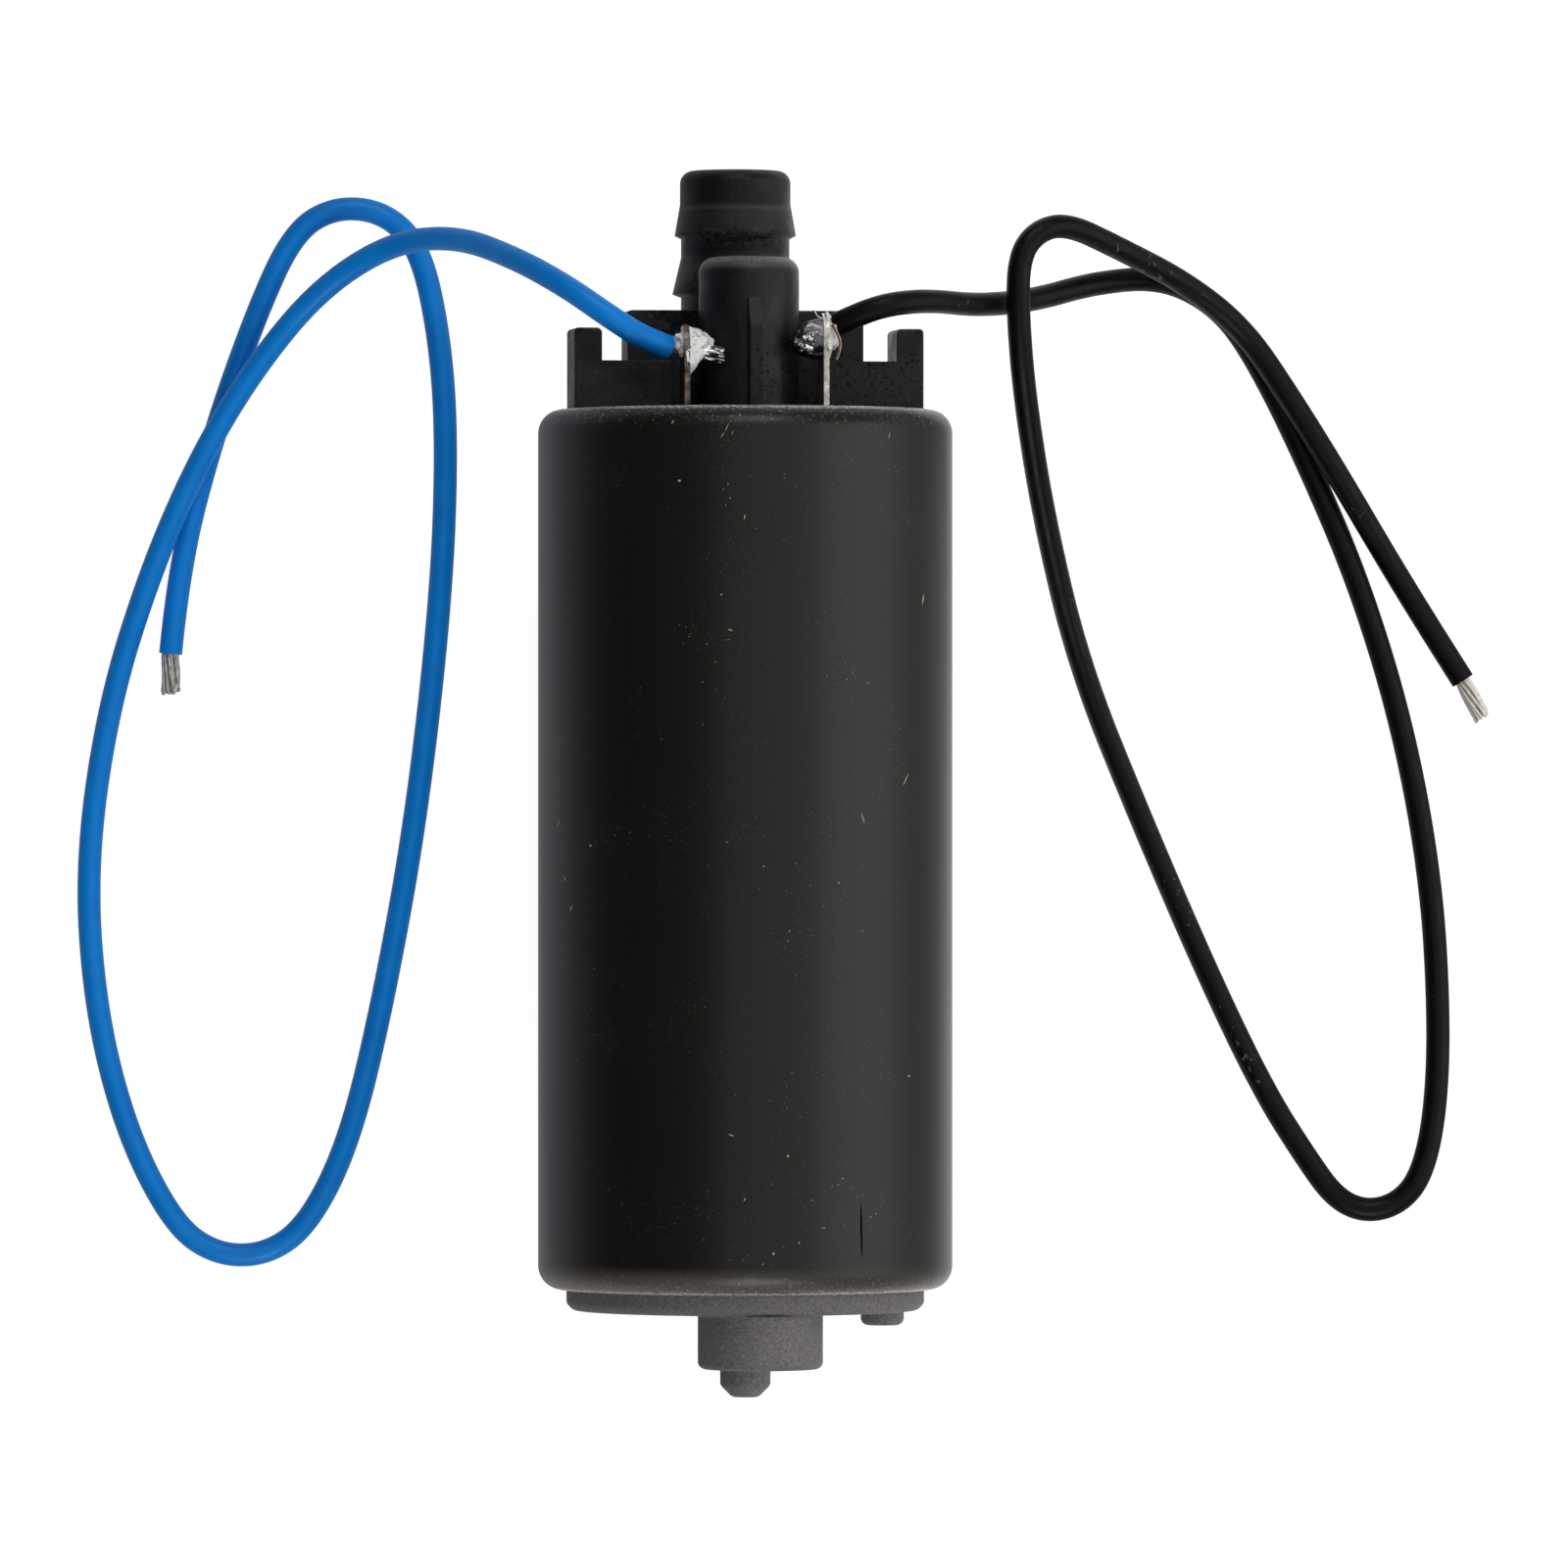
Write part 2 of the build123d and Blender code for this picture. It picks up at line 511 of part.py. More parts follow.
def barb():
    """The outlet's hose barb: two flares over a straight tube, with a rounded tip."""
    height = BARB_TIP - BARB_TIP_LENGTH
    points = [(0, BARB_TIP), (BARB_TIP_RADIUS, BARB_TIP), (BARB_TIP_RADIUS, height)]
    height -= BARB_FLARE_LENGTH
    points += [(BARB_FLARE_RADIUS, height), (BARB_NECK_RADIUS, height - BARB_STEP)]
    height -= BARB_STEP + BARB_NECK_LENGTH
    points += [(BARB_NECK_RADIUS, height)]
    height -= BARB_SECOND_LENGTH
    points += [(BARB_SECOND_RADIUS, height), (BARB_NECK_RADIUS, height - BARB_STEP)]
    points += [(BARB_NECK_RADIUS, DECK - 1), (0, DECK - 1)]
    outline = Polyline([(radius, 0, height) for radius, height in points], close=True)
    solid = revolve(make_face(outline), Axis.Z)
    solid = fillet(upper_circles(solid), BARB_EDGE)
    return Pos(0, BARB_Y, 0) * solid


def relief_boss():
    """The round boss at the front that holds the relief valve, with its stiffening rib."""
    boss = rod(BOSS_RADIUS, DECK - 1, BOSS_TOP, 0, BOSS_Y)
    boss = fillet(upper_circles(boss), BOSS_EDGE)
    front = BOSS_Y - BOSS_RADIUS
    top = CAN_LENGTH + RIB_HEIGHT
    outline = Polyline((0, front + 1, DECK - 1), (0, front - RIB_DEPTH, DECK - 1),
                       (0, front - RIB_DEPTH, top - RIB_SLOPE), (0, front, top), (0, front + 1, top),
                       close=True)
    rib = Pos(-RIB_WIDTH / 2, 0, 0) * extrude(make_face(outline), RIB_WIDTH, dir=(1, 0, 0))
    return boss + rib


def bridge():
    """The block across the cover: two end posts, two notches and the tall wall between them."""
    low = block(-BRIDGE_HALF_LENGTH, BRIDGE_HALF_LENGTH, -BRIDGE_HALF_DEPTH, BRIDGE_HALF_DEPTH,
                DECK - 1, CAN_LENGTH + BRIDGE_HEIGHT)
    recess = block(-RECESS_HALF_LENGTH, RECESS_HALF_LENGTH, -BRIDGE_HALF_DEPTH - 1, WALL_FRONT,
                   DECK, CAN_LENGTH + WALL_HEIGHT)
    body = low - recess
    for side in (-1, 1):
        ends = sorted((side * BRIDGE_HALF_LENGTH, side * (BRIDGE_HALF_LENGTH - POST_WIDTH)))
        body += block(ends[0], ends[1], -BRIDGE_HALF_DEPTH, BRIDGE_HALF_DEPTH,
                      DECK, CAN_LENGTH + POST_HEIGHT)
    body += block(-WALL_HALF_LENGTH, WALL_HALF_LENGTH, WALL_FRONT, WALL_BACK,
                  DECK - 1, CAN_LENGTH + WALL_HEIGHT)
    return body & rod(PLATE_RADIUS - SEAT_CLEARANCE, DECK - 2, BARB_TIP)


def brush_room(side):
    """The space in the cover for a brush with its spring."""
    width = BRUSH_WIDTH / 2 + BRUSH_CLEARANCE
    depth = BRUSH_DEPTH / 2 + BRUSH_CLEARANCE
    return block(side * BRUSH_X - width, side * BRUSH_X + width, -depth, depth,
                 COVER_BOTTOM - 1, FOOT_BOTTOM)


def terminal_blank(side, eye_height, clearance=0.0):
    """A terminal's blade and foot before the eye is pierced."""
    half = BLADE_THICKNESS / 2 + clearance
    top = CAN_LENGTH + eye_height
    left = side * BLADE_X - half
    blade = block(left, left + 2 * half, BLADE_Y - BLADE_WIDTH / 2 - clearance,
                  BLADE_Y + BLADE_WIDTH / 2 + clearance, FOOT_BOTTOM - clearance, top)
    head = Pos(left, BLADE_Y, top) * Rot(Y=90) * Cylinder(
        BLADE_WIDTH / 2 + clearance, 2 * half, align=SEATED)
    ends = sorted((side * (BLADE_X - BLADE_THICKNESS / 2), side * (BRUSH_X + FOOT_REACH)))
    foot = block(ends[0] - clearance, ends[1] + clearance, BLADE_Y - BLADE_WIDTH / 2 - clearance,
                 FOOT_REACH + clearance, FOOT_BOTTOM - clearance, FOOT_TOP + clearance)
    return blade + head + foot


def terminal(side, eye_height):
    """Stamped terminal: the foot lies over the brush spring and the blade ends in an eye."""
    eye = Pos(0, BLADE_Y, CAN_LENGTH + eye_height) * Rot(Y=90) * Cylinder(EYE_RADIUS, 4 * BLADE_X)
    return terminal_blank(side, eye_height) - eye


def outlet_cover():
    """Moulded outlet cover and brush holder with the barb, the bridge and the relief boss."""
    flange = rod(SEAT_RADIUS, COVER_BOTTOM, COVER_TOP)
    flange = chamfer(upper_circles(flange), SEAT_CORNER)
    body = flange + rod(PLATE_RADIUS, COVER_TOP - 1, DECK) + bridge() + barb() + relief_boss()
    body -= ring(SEAT_RADIUS + 1, SEAT_RADIUS - SEAL_DEPTH - SEAT_CLEARANCE,
                 COVER_TOP - SEAL_FROM_TOP - SEAL_HEIGHT, COVER_TOP - SEAL_FROM_TOP)
    body -= rod(BEARING_RADIUS + SEAT_CLEARANCE, COVER_BOTTOM - 1, BEARING_BORE_TOP)
    body -= rod(PASSAGE_RADIUS, COVER_BOTTOM - 1, SEAT_HEIGHT + 1, 0, BARB_Y)
    body -= rod(OUTLET_BORE, SEAT_HEIGHT, GUIDE_TOP + 1, 0, BARB_Y)
    body -= rod(OUTLET_MOUTH, GUIDE_TOP + MOUTH_STEP, BARB_TIP + 1, 0, BARB_Y)
    body -= rod(RELIEF_PASSAGE_RADIUS, COVER_BOTTOM - 1, RELIEF_SLOT_TOP, 0, RELIEF_PASSAGE_Y)
    body -= block(-RELIEF_PASSAGE_RADIUS, RELIEF_PASSAGE_RADIUS, RELIEF_PASSAGE_Y, BOSS_Y,
                  RELIEF_SLOT_BOTTOM, RELIEF_SLOT_TOP)
    body -= rod(RELIEF_SEAT_RADIUS, RELIEF_SLOT_BOTTOM, RELIEF_SEAT + 1, 0, BOSS_Y)
    body -= rod(RELIEF_BORE, RELIEF_SEAT, BOSS_TOP + 1, 0, BOSS_Y)
    body -= rod(PLUG_RADIUS + SEAT_CLEARANCE, PLUG_BOTTOM, BOSS_TOP + 1, 0, BOSS_Y)
    for side, eye_height in ((-1, EYE_HEIGHT_LEFT), (1, EYE_HEIGHT_RIGHT)):
        body -= brush_room(side)
        body -= terminal_blank(side, eye_height) & rod(PLATE_RADIUS, COVER_BOTTOM, DECK + 1)
    return body


def cover_seal():
    """Rubber ring in the groove of the outlet cover."""
    bottom = COVER_TOP - SEAL_FROM_TOP - SEAL_HEIGHT
    return ring(SEAT_RADIUS, SEAT_RADIUS - SEAL_DEPTH, bottom, bottom + SEAL_HEIGHT)


def brush(side):
    """Carbon brush with a chamfered top."""
    body = block(side * BRUSH_X - BRUSH_WIDTH / 2, side * BRUSH_X + BRUSH_WIDTH / 2,
                 -BRUSH_DEPTH / 2, BRUSH_DEPTH / 2, COMMUTATOR_FACE, BRUSH_TOP)
    return chamfer(body.edges().group_by(Axis.Z)[-1], 0.4)


def brush_spring(side):
    """Spring between a brush and the foot of its terminal."""
    return coil_spring(BRUSH_SPRING_RADIUS, BRUSH_SPRING_WIRE, BRUSH_SPRING_TURNS,
                       BRUSH_TOP, FOOT_BOTTOM, side * BRUSH_X)


def brush_shunt(side):
    """Copper braid from a brush up through its spring to the terminal."""
    return rod(SHUNT_RADIUS, BRUSH_TOP, FOOT_BOTTOM, side * BRUSH_X)


def check_valve_seal():
    """Rubber washer on the face of the check valve."""
    return ring(POPPET_RADIUS, POPPET_STEM_RADIUS + SEAT_CLEARANCE, SEAT_HEIGHT, POPPET_FACE, 0, BARB_Y)


def check_valve_poppet():
    """Poppet of the check valve with a stem on each side."""
    head = rod(POPPET_RADIUS, POPPET_FACE, POPPET_BACK, 0, BARB_Y)
    head = chamfer(upper_circles(head), 0.4)
    return head + rod(POPPET_STEM_RADIUS, SEAT_HEIGHT - 1, GUIDE_BOTTOM + GUIDE_THICKNESS / 2, 0, BARB_Y)


def check_valve_spring():
    """Light spring that closes the check valve."""
    return coil_spring(CHECK_SPRING_RADIUS, CHECK_SPRING_WIRE, CHECK_SPRING_TURNS,
                       POPPET_BACK, GUIDE_BOTTOM, 0, BARB_Y)


def check_valve_guide():
    """Pierced disc that holds the spring and guides the valve's stem."""
    disc = ring(OUTLET_BORE - SEAT_CLEARANCE / 2, POPPET_STEM_RADIUS + RUNNING_CLEARANCE,
                GUIDE_BOTTOM, GUIDE_TOP, 0, BARB_Y)
    for number in range(GUIDE_HOLES):
        angle = 2 * pi * number / GUIDE_HOLES
        disc -= rod(GUIDE_HOLE_RADIUS, GUIDE_BOTTOM - 1, GUIDE_TOP + 1,
                    GUIDE_HOLE_CIRCLE * cos(angle), BARB_Y + GUIDE_HOLE_CIRCLE * sin(angle))
    return disc


def relief_ball():
    """Ball of the relief valve on its seat."""
    return Pos(0, BOSS_Y, BALL_HEIGHT) * Sphere(RELIEF_BALL_RADIUS)


def relief_spring():
    """Spring that holds the relief valve's ball down, resting on its shoulder."""
    inner = RELIEF_SPRING_RADIUS - RELIEF_SPRING_WIRE / 2
    rest = BALL_HEIGHT + sqrt(RELIEF_BALL_RADIUS ** 2 - inner ** 2)
    return coil_spring(RELIEF_SPRING_RADIUS, RELIEF_SPRING_WIRE, RELIEF_SPRING_TURNS,
                       rest, PLUG_BOTTOM, 0, BOSS_Y)


def relief_plug():
    """Vented plug pressed into the boss over the relief valve's spring."""
    plug = ring(PLUG_RADIUS, VENT_RADIUS, PLUG_BOTTOM, BOSS_TOP - PLUG_INSET, 0, BOSS_Y)
    return plug


# Routes of the leads, in the lying frame: from the terminal, over and round to the bare end
BLUE_ROUTE = [
    (-6.9, 39.8, 25.8), (-9.3, 40.6, 26.8), (-12.4, 42.6, 27.5), (-16.2, 45.3, 26.3),
    (-20.8, 48.0, 21.6), (-26.4, 50.4, 14.4), (-32.6, 50.1, 8.8), (-39.4, 46.0, 5.6),
    (-45.4, 38.9, 4.3), (-50.6, 30.4, 3.9), (-55.3, 19.8, 2.7), (-59.3, 7.2, 1.2),
    (-61.4, -7.6, 1.05), (-60.5, -21.0, 1.05), (-57.6, -32.4, 1.05), (-53.2, -41.0, 1.05),
    (-49.2, -43.8, 1.05), (-44.6, -43.8, 1.05), (-40.7, -41.0, 1.05), (-36.9, -33.4, 1.05),
    (-33.8, -20.6, 1.05), (-30.6, -3.0, 1.05), (-28.3, 17.6, 1.05), (-27.8, 32.2, 1.05),
    (-28.5, 41.8, 1.05), (-30.3, 49.9, 1.05), (-33.6, 53.2, 1.05), (-38.2, 53.7, 1.05),
    (-42.1, 51.3, 1.05), (-45.6, 43.6, 1.05), (-49.6, 32.2, 1.05), (-52.7, 20.4, 1.05),
    (-53.5, 12.1, 1.05),
]
BLACK_ROUTE = [
    (8.3, 41.9, 24.2), (10.4, 42.9, 24.8), (13.2, 43.8, 24.9), (16.8, 44.2, 22.8),
    (21.4, 43.9, 17.4), (26.6, 44.6, 11.8), (32.4, 46.4, 7.8), (38.7, 47.2, 4.6),
    (44.6, 44.7, 2.2), (48.1, 39.5, 1.05), (52.4, 29.9, 1.05), (57.3, 18.0, 1.05),
    (61.3, 4.6, 1.05), (63.8, -9.4, 1.05), (64.5, -22.4, 1.05), (64.1, -31.0, 1.05),
    (62.8, -36.6, 1.05), (60.6, -39.1, 1.05), (57.6, -39.8, 1.05), (54.8, -38.5, 1.05),
    (52.2, -34.9, 1.05), (48.2, -28.6, 1.05), (43.0, -17.8, 1.05), (36.8, -3.4, 1.05),
    (31.0, 10.8, 3.0), (27.6, 24.4, 8.6), (25.7, 35.4, 14.8), (25.0, 43.2, 17.8),
    (25.1, 48.4, 17.8), (26.8, 50.8, 17.2), (29.6, 51.5, 15.9), (34.4, 49.4, 12.2),
    (40.7, 46.4, 7.4), (46.2, 42.2, 4.4), (50.6, 35.7, 3.9), (55.0, 28.7, 2.8),
    (59.6, 21.0, 1.2), (63.4, 14.8, 1.05), (66.7, 9.6, 1.05),
]
BLUE_EXIT = (-1.43, -0.30, -0.23)      # from the terminal's eye to the end of the insulation
BLACK_EXIT = (1.10, 0.75, -0.05)
BLUE_STRANDS_END = (-53.6, 8.4, 1.0)
BLACK_STRANDS_END = (68.5, 6.1, 1.0)


def route_radii(points):
    """Each bend's radius: as large as its two runs allow."""
    radii = []
    for before, here, after in zip(points, points[1:], points[2:]):
        first = Vector(*here) - Vector(*before)
        second = Vector(*after) - Vector(*here)
        turn = first.get_angle(second)
        radii.append(0.45 * min(first.length, second.length) / tan(radians(turn / 2)))
    return radii


def least_gap(path):
    """The least gap between lengths of one lead that are more than four diameters apart along it."""
    count = int(path.length / (LEAD_DIAMETER / 4))
    spots = [path @ (number / count) for number in range(count + 1)]
    apart = 16
    nearest = min((spots[later] - spots[first]).length
                  for first in range(0, count, 2) for later in range(first + apart, count + 1, 2))
    return nearest - LEAD_DIAMETER


def lead(name, points):
    """An insulated lead along its route, straight runs joined by tangent arcs."""
    radii = route_radii(points)
    path = FilletPolyline(*points, radius=radii)
    area = pi * (LEAD_DIAMETER / 2) ** 2
    corner = sqrt(2 * area / (LEAD_SIDES * sin(2 * pi / LEAD_SIDES)))
    section = Plane(path @ 0, z_dir=path % 0) * RegularPolygon(corner, LEAD_SIDES)
    tube = sweep(section, path)
    expected = area * path.length
    print(name, "length", round(path.length, 1), "volume ratio", round(tube.volume / expected, 4))
    print(name, "bend radii", [round(radius, 1) for radius in radii])
    print(name, "least gap to itself", round(least_gap(path), 2))
    print(name, "bare wire begins", tuple(path @ 1))
    return tube


def straight_wire(start, end, radius):
    """A straight length of bare conductor between two points."""
    way = Vector(*end) - Vector(*start)
    return Plane(start, z_dir=way) * Cylinder(radius, way.length, align=SEATED)


def eye_middle(side, eye_height):
    """The middle of a terminal's eye, in the lying frame."""
    return laid(Pos(side * BLADE_X, BLADE_Y, CAN_LENGTH + eye_height)).position


def tail(side, eye_height, way_out):
    """The bare conductor from the insulation through the terminal's eye into the solder."""
    middle = eye_middle(side, eye_height)
    start = middle + Vector(*way_out)
    end = middle - Vector(*way_out).normalized() * TAIL_REACH
    return straight_wire(start, end, STRAND_RADIUS)


def solder(side, eye_height):
    """The blob of solder on a terminal's inner face, over the end of the conductor."""
    x = side * (BLADE_X - BLADE_THICKNESS / 2)
    drop = Pos(x, BLADE_Y, CAN_LENGTH + eye_height) * Rot(Y=-90 * side)
    return laid(drop * Cone(SOLDER_RADIUS, STRAND_RADIUS + 0.15, SOLDER_LENGTH, align=SEATED))


def pieces():
    """Every piece of the pump by its name, in the lying frame."""
    upright = {
        "can": can(),
        "inlet_cover": inlet_cover(),
        "thrust_button": thrust_button(),
        "impeller": impeller(),
        "pump_casing": pump_casing(),
        "lower_bearing": bearing(LOWER_BEARING_BOTTOM),
        "upper_bearing": bearing(UPPER_BEARING_BOTTOM),
        "shaft": shaft(),
        "lower_washer": thrust_washer(LOWER_WASHER_BOTTOM),
        "upper_washer": thrust_washer(COMMUTATOR_FACE),
        "lamination_stack": slotted_disc(ARMATURE_START, ARMATURE_END),
        "armature_windings": armature_windings(),
        "lower_insulator": end_insulator(ARMATURE_START - INSULATOR_THICKNESS),
        "upper_insulator": end_insulator(ARMATURE_END),
        "commutator_hub": commutator_hub(),
        "commutator": commutator(),
        "magnet_right": magnet(0),
        "magnet_left": magnet(180),
        "magnet_clip_back": magnet_clip(90),
        "magnet_clip_front": magnet_clip(270),
        "outlet_cover": outlet_cover(),
        "cover_seal": cover_seal(),
        "terminal_left": terminal(-1, EYE_HEIGHT_LEFT),
        "terminal_right": terminal(1, EYE_HEIGHT_RIGHT),
        "brush_left": brush(-1),
        "brush_right": brush(1),
        "brush_spring_left": brush_spring(-1),
        "brush_spring_right": brush_spring(1),
        "brush_shunt_left": brush_shunt(-1),
        "brush_shunt_right": brush_shunt(1),
        "check_valve_seal": check_valve_seal(),
        "check_valve_poppet": check_valve_poppet(),
        "check_valve_spring": check_valve_spring(),
        "check_valve_guide": check_valve_guide(),
        "relief_ball": relief_ball(),
        "relief_spring": relief_spring(),
        "relief_plug": relief_plug(),
    }
    made = {name: laid(shape) for name, shape in upright.items()}
    made["solder_left"] = solder(-1, EYE_HEIGHT_LEFT)
    made["solder_right"] = solder(1, EYE_HEIGHT_RIGHT)
    made["blue_lead"] = lead("blue lead", BLUE_ROUTE)
    made["black_lead"] = lead("black lead", BLACK_ROUTE)
    blue_tail = tail(-1, EYE_HEIGHT_LEFT, BLUE_EXIT)
    black_tail = tail(1, EYE_HEIGHT_RIGHT, BLACK_EXIT)
    blue_end = straight_wire(BLUE_ROUTE[-1], BLUE_STRANDS_END, STRAND_RADIUS)
    black_end = straight_wire(BLACK_ROUTE[-1], BLACK_STRANDS_END, STRAND_RADIUS)
    made["blue_lead_tail"] = blue_tail - made["blue_lead"] - made["solder_left"]
    made["black_lead_tail"] = black_tail - made["black_lead"] - made["solder_right"]
    made["blue_lead_strands"] = blue_end - made["blue_lead"]
    made["black_lead_strands"] = black_end - made["black_lead"]
    return made


os.makedirs("parts", exist_ok=True)
for name, shape in pieces().items():
    export_step(shape, "parts/" + name + ".step")
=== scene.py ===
"""An electric in-tank fuel pump lying on its side, with its blue and black leads beside it."""

from math import cos, pi, radians, sin

import bmesh
import bpy
from bpy.props import FloatProperty, IntProperty, PointerProperty, StringProperty
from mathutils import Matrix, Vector, noise


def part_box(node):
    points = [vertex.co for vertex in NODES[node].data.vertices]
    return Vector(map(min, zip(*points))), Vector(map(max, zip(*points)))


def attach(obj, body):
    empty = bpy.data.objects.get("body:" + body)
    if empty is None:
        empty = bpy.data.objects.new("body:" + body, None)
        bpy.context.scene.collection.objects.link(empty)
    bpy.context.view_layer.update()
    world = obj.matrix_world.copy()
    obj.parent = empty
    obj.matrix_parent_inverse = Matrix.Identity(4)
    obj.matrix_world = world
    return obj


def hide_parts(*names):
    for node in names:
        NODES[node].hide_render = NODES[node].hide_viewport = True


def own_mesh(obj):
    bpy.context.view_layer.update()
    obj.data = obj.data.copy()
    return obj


bl_info = {
    "name": "In-tank fuel pump",
    "version": (1, 0, 0),
    "blender": (4, 5, 0),
    "location": "View3D > Sidebar > Fuel pump",
    "description": "Dresses the packed fuel pump: leads, solder, coatings, castings and mouldings",
    "category": "Object",
}

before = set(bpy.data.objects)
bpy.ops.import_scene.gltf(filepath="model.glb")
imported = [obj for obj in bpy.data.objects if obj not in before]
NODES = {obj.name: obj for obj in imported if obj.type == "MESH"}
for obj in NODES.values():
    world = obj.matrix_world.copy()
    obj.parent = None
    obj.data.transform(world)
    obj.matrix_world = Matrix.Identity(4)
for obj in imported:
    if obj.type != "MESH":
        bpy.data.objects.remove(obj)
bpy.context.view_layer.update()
MM = 0.001

# The pump as it lies, in millimetres: as in its CAD source
ROLL_ANGLE = 8.0
ORIGIN_HEIGHT = 46.3
CAN_RADIUS = 19.0
CAN_LENGTH = 80.6
BLADE_X = 6.4
BLADE_Y = -6.2
EYE_LEFT = 86.4
EYE_RIGHT = 87.45
LEAD_RADIUS = 1.0
BRUSH_TRAVEL = 3.0

# The camera stands over this place across the pump
VIEW_X = 3.55

# The leads' routes, in millimetres, from the terminal to the bare end
BLUE_ROUTE = [
    (-6.9, 39.8, 25.8), (-9.3, 40.6, 26.8), (-12.4, 42.6, 27.5), (-16.2, 45.3, 26.3),
    (-20.8, 48.0, 21.6), (-26.4, 50.4, 14.4), (-32.6, 50.1, 8.8), (-39.4, 46.0, 5.6),
    (-45.4, 38.9, 4.3), (-50.6, 30.4, 3.9), (-55.3, 19.8, 2.7), (-59.3, 7.2, 1.2),
    (-61.4, -7.6, 1.05), (-60.5, -21.0, 1.05), (-57.6, -32.4, 1.05), (-53.2, -41.0, 1.05),
    (-49.2, -43.8, 1.05), (-44.6, -43.8, 1.05), (-40.7, -41.0, 1.05), (-36.9, -33.4, 1.05),
    (-33.8, -20.6, 1.05), (-30.6, -3.0, 1.05), (-28.3, 17.6, 1.05), (-27.8, 32.2, 1.05),
    (-28.5, 41.8, 1.05), (-30.3, 49.9, 1.05), (-33.6, 53.2, 1.05), (-38.2, 53.7, 1.05),
    (-42.1, 51.3, 1.05), (-45.6, 43.6, 1.05), (-49.6, 32.2, 1.05), (-52.7, 20.4, 1.05),
    (-53.5, 12.1, 1.05),
]
BLACK_ROUTE = [
    (8.3, 41.9, 24.2), (10.4, 42.9, 24.8), (13.2, 43.8, 24.9), (16.8, 44.2, 22.8),
    (21.4, 43.9, 17.4), (26.6, 44.6, 11.8), (32.4, 46.4, 7.8), (38.7, 47.0, 4.6),
    (44.1, 44.3, 2.1), (47.7, 39.2, 1.05), (52.3, 29.8, 1.05), (57.3, 18.0, 1.05),
    (61.3, 4.6, 1.05), (63.8, -9.4, 1.05), (64.5, -22.4, 1.05), (64.1, -31.0, 1.05),
    (62.8, -36.6, 1.05), (60.6, -39.1, 1.05), (57.6, -39.8, 1.05), (54.8, -38.5, 1.05),
    (52.2, -34.9, 1.05), (48.2, -28.6, 1.05), (43.0, -17.8, 1.05), (36.8, -3.4, 1.05),
    (31.0, 10.8, 3.0), (27.6, 24.4, 8.6), (25.7, 35.4, 14.8), (25.0, 43.2, 17.8),
    (25.1, 48.4, 17.8), (26.8, 50.8, 17.2), (29.6, 51.5, 15.9), (34.4, 49.4, 12.2),
    (40.7, 46.4, 7.4), (46.2, 42.2, 4.4), (50.6, 35.7, 3.9), (55.0, 28.7, 2.8),
    (59.6, 21.0, 1.2), (63.4, 14.8, 1.05), (66.7, 9.6, 1.05),
]
BLUE_END = (-53.6, 8.4, 1.0)
BLACK_END = (68.5, 6.1, 1.0)

# Single scratches on the can, in millimetres as it lies: x, y, length, width, slant in degrees, strength
SCRATCHES = (
    (-6.5, 32.7, 0.5, 0.12, -25, 0.7), (-1.6, 32.2, 0.9, 0.1, -24, 0.5),
    (-2.0, 31.5, 0.7, 0.1, -32, 0.45), (-1.1, 31.7, 0.5, 0.09, -20, 0.3),
    (-5.9, 27.4, 0.22, 0.36, 0, 0.7), (-1.5, 27.1, 0.25, 0.13, 0, 0.3),
    (-1.9, 26.6, 0.18, 0.14, 0, 0.25), (-1.3, 25.8, 0.3, 0.1, 15, 0.3),
    (-1.7, 25.2, 0.2, 0.12, 0, 0.3), (0.0, 24.1, 0.5, 0.13, -10, 0.6),
    (-1.3, 13.9, 0.5, 0.12, 80, 0.7), (16.2, 16.8, 1.2, 0.13, -8, 0.7),
    (13.1, 31.6, 0.7, 0.1, -12, 0.4), (14.6, 0.4, 1.45, 0.1, -24, 0.6),
    (10.7, -3.1, 1.1, 0.1, 16, 0.5), (-14.0, -5.6, 0.25, 0.22, 0, 0.7),
    (-17.0, -3.6, 1.1, 0.13, -12, 0.6), (-16.4, -8.6, 0.7, 0.13, 20, 0.6),
    (-15.8, -11.3, 0.8, 0.13, -20, 0.6), (-1.2, -31.7, 0.6, 0.1, 72, 0.7),
    (3.9, -33.6, 0.24, 0.2, 0, 0.7), (0.0, -37.5, 0.4, 0.1, -30, 0.7),
    (2.6, -42.4, 0.25, 0.24, 0, 0.7), (14.9, -26.5, 0.22, 0.2, 0, 0.7),
    (-2.1, 17.1, 0.2, 0.16, 0, 0.7),
)
# The one deep score near the inlet end, in the same way, without a strength
SCORE = (10.55, -40.4, 5.5, 0.2, 1)
# A mark's middle lies this high and its reach up and down is this long, so that it meets the can's top
MARK_HEIGHT = 36
MARK_REACH = 16

# A wave texture's scale that gives a ridge about every 0.5 mm
RIDGES = 1 / (0.5 * MM * pi)


def lying(x, y, z):
    """A point of the upright pump, in millimetres, as it lies, in metres."""
    turn = radians(ROLL_ANGLE)
    across = x * cos(turn) - y * sin(turn)
    back = x * sin(turn) + y * cos(turn)
    return Vector((across, z - ORIGIN_HEIGHT, CAN_RADIUS - back)) * MM


def linear(text):
    """An sRGB hex colour as linear RGBA."""
    values = [int(text[place:place + 2], 16) / 255 for place in (1, 3, 5)]
    return tuple(v / 12.92 if v <= 0.04045 else ((v + 0.055) / 1.055) ** 2.4 for v in values) + (1,)


def feed(node, inputs):
    """Gives a node's sockets what they take: numbers, sRGB hex colours, outputs or a node's first one."""
    for name, value in inputs.items():
        socket = node.inputs[name]
        if isinstance(value, bpy.types.Node):
            node.id_data.links.new(value.outputs[0], socket)
        elif isinstance(value, bpy.types.NodeSocket):
            node.id_data.links.new(value, socket)
        else:
            socket.default_value = linear(value) if isinstance(value, str) else value


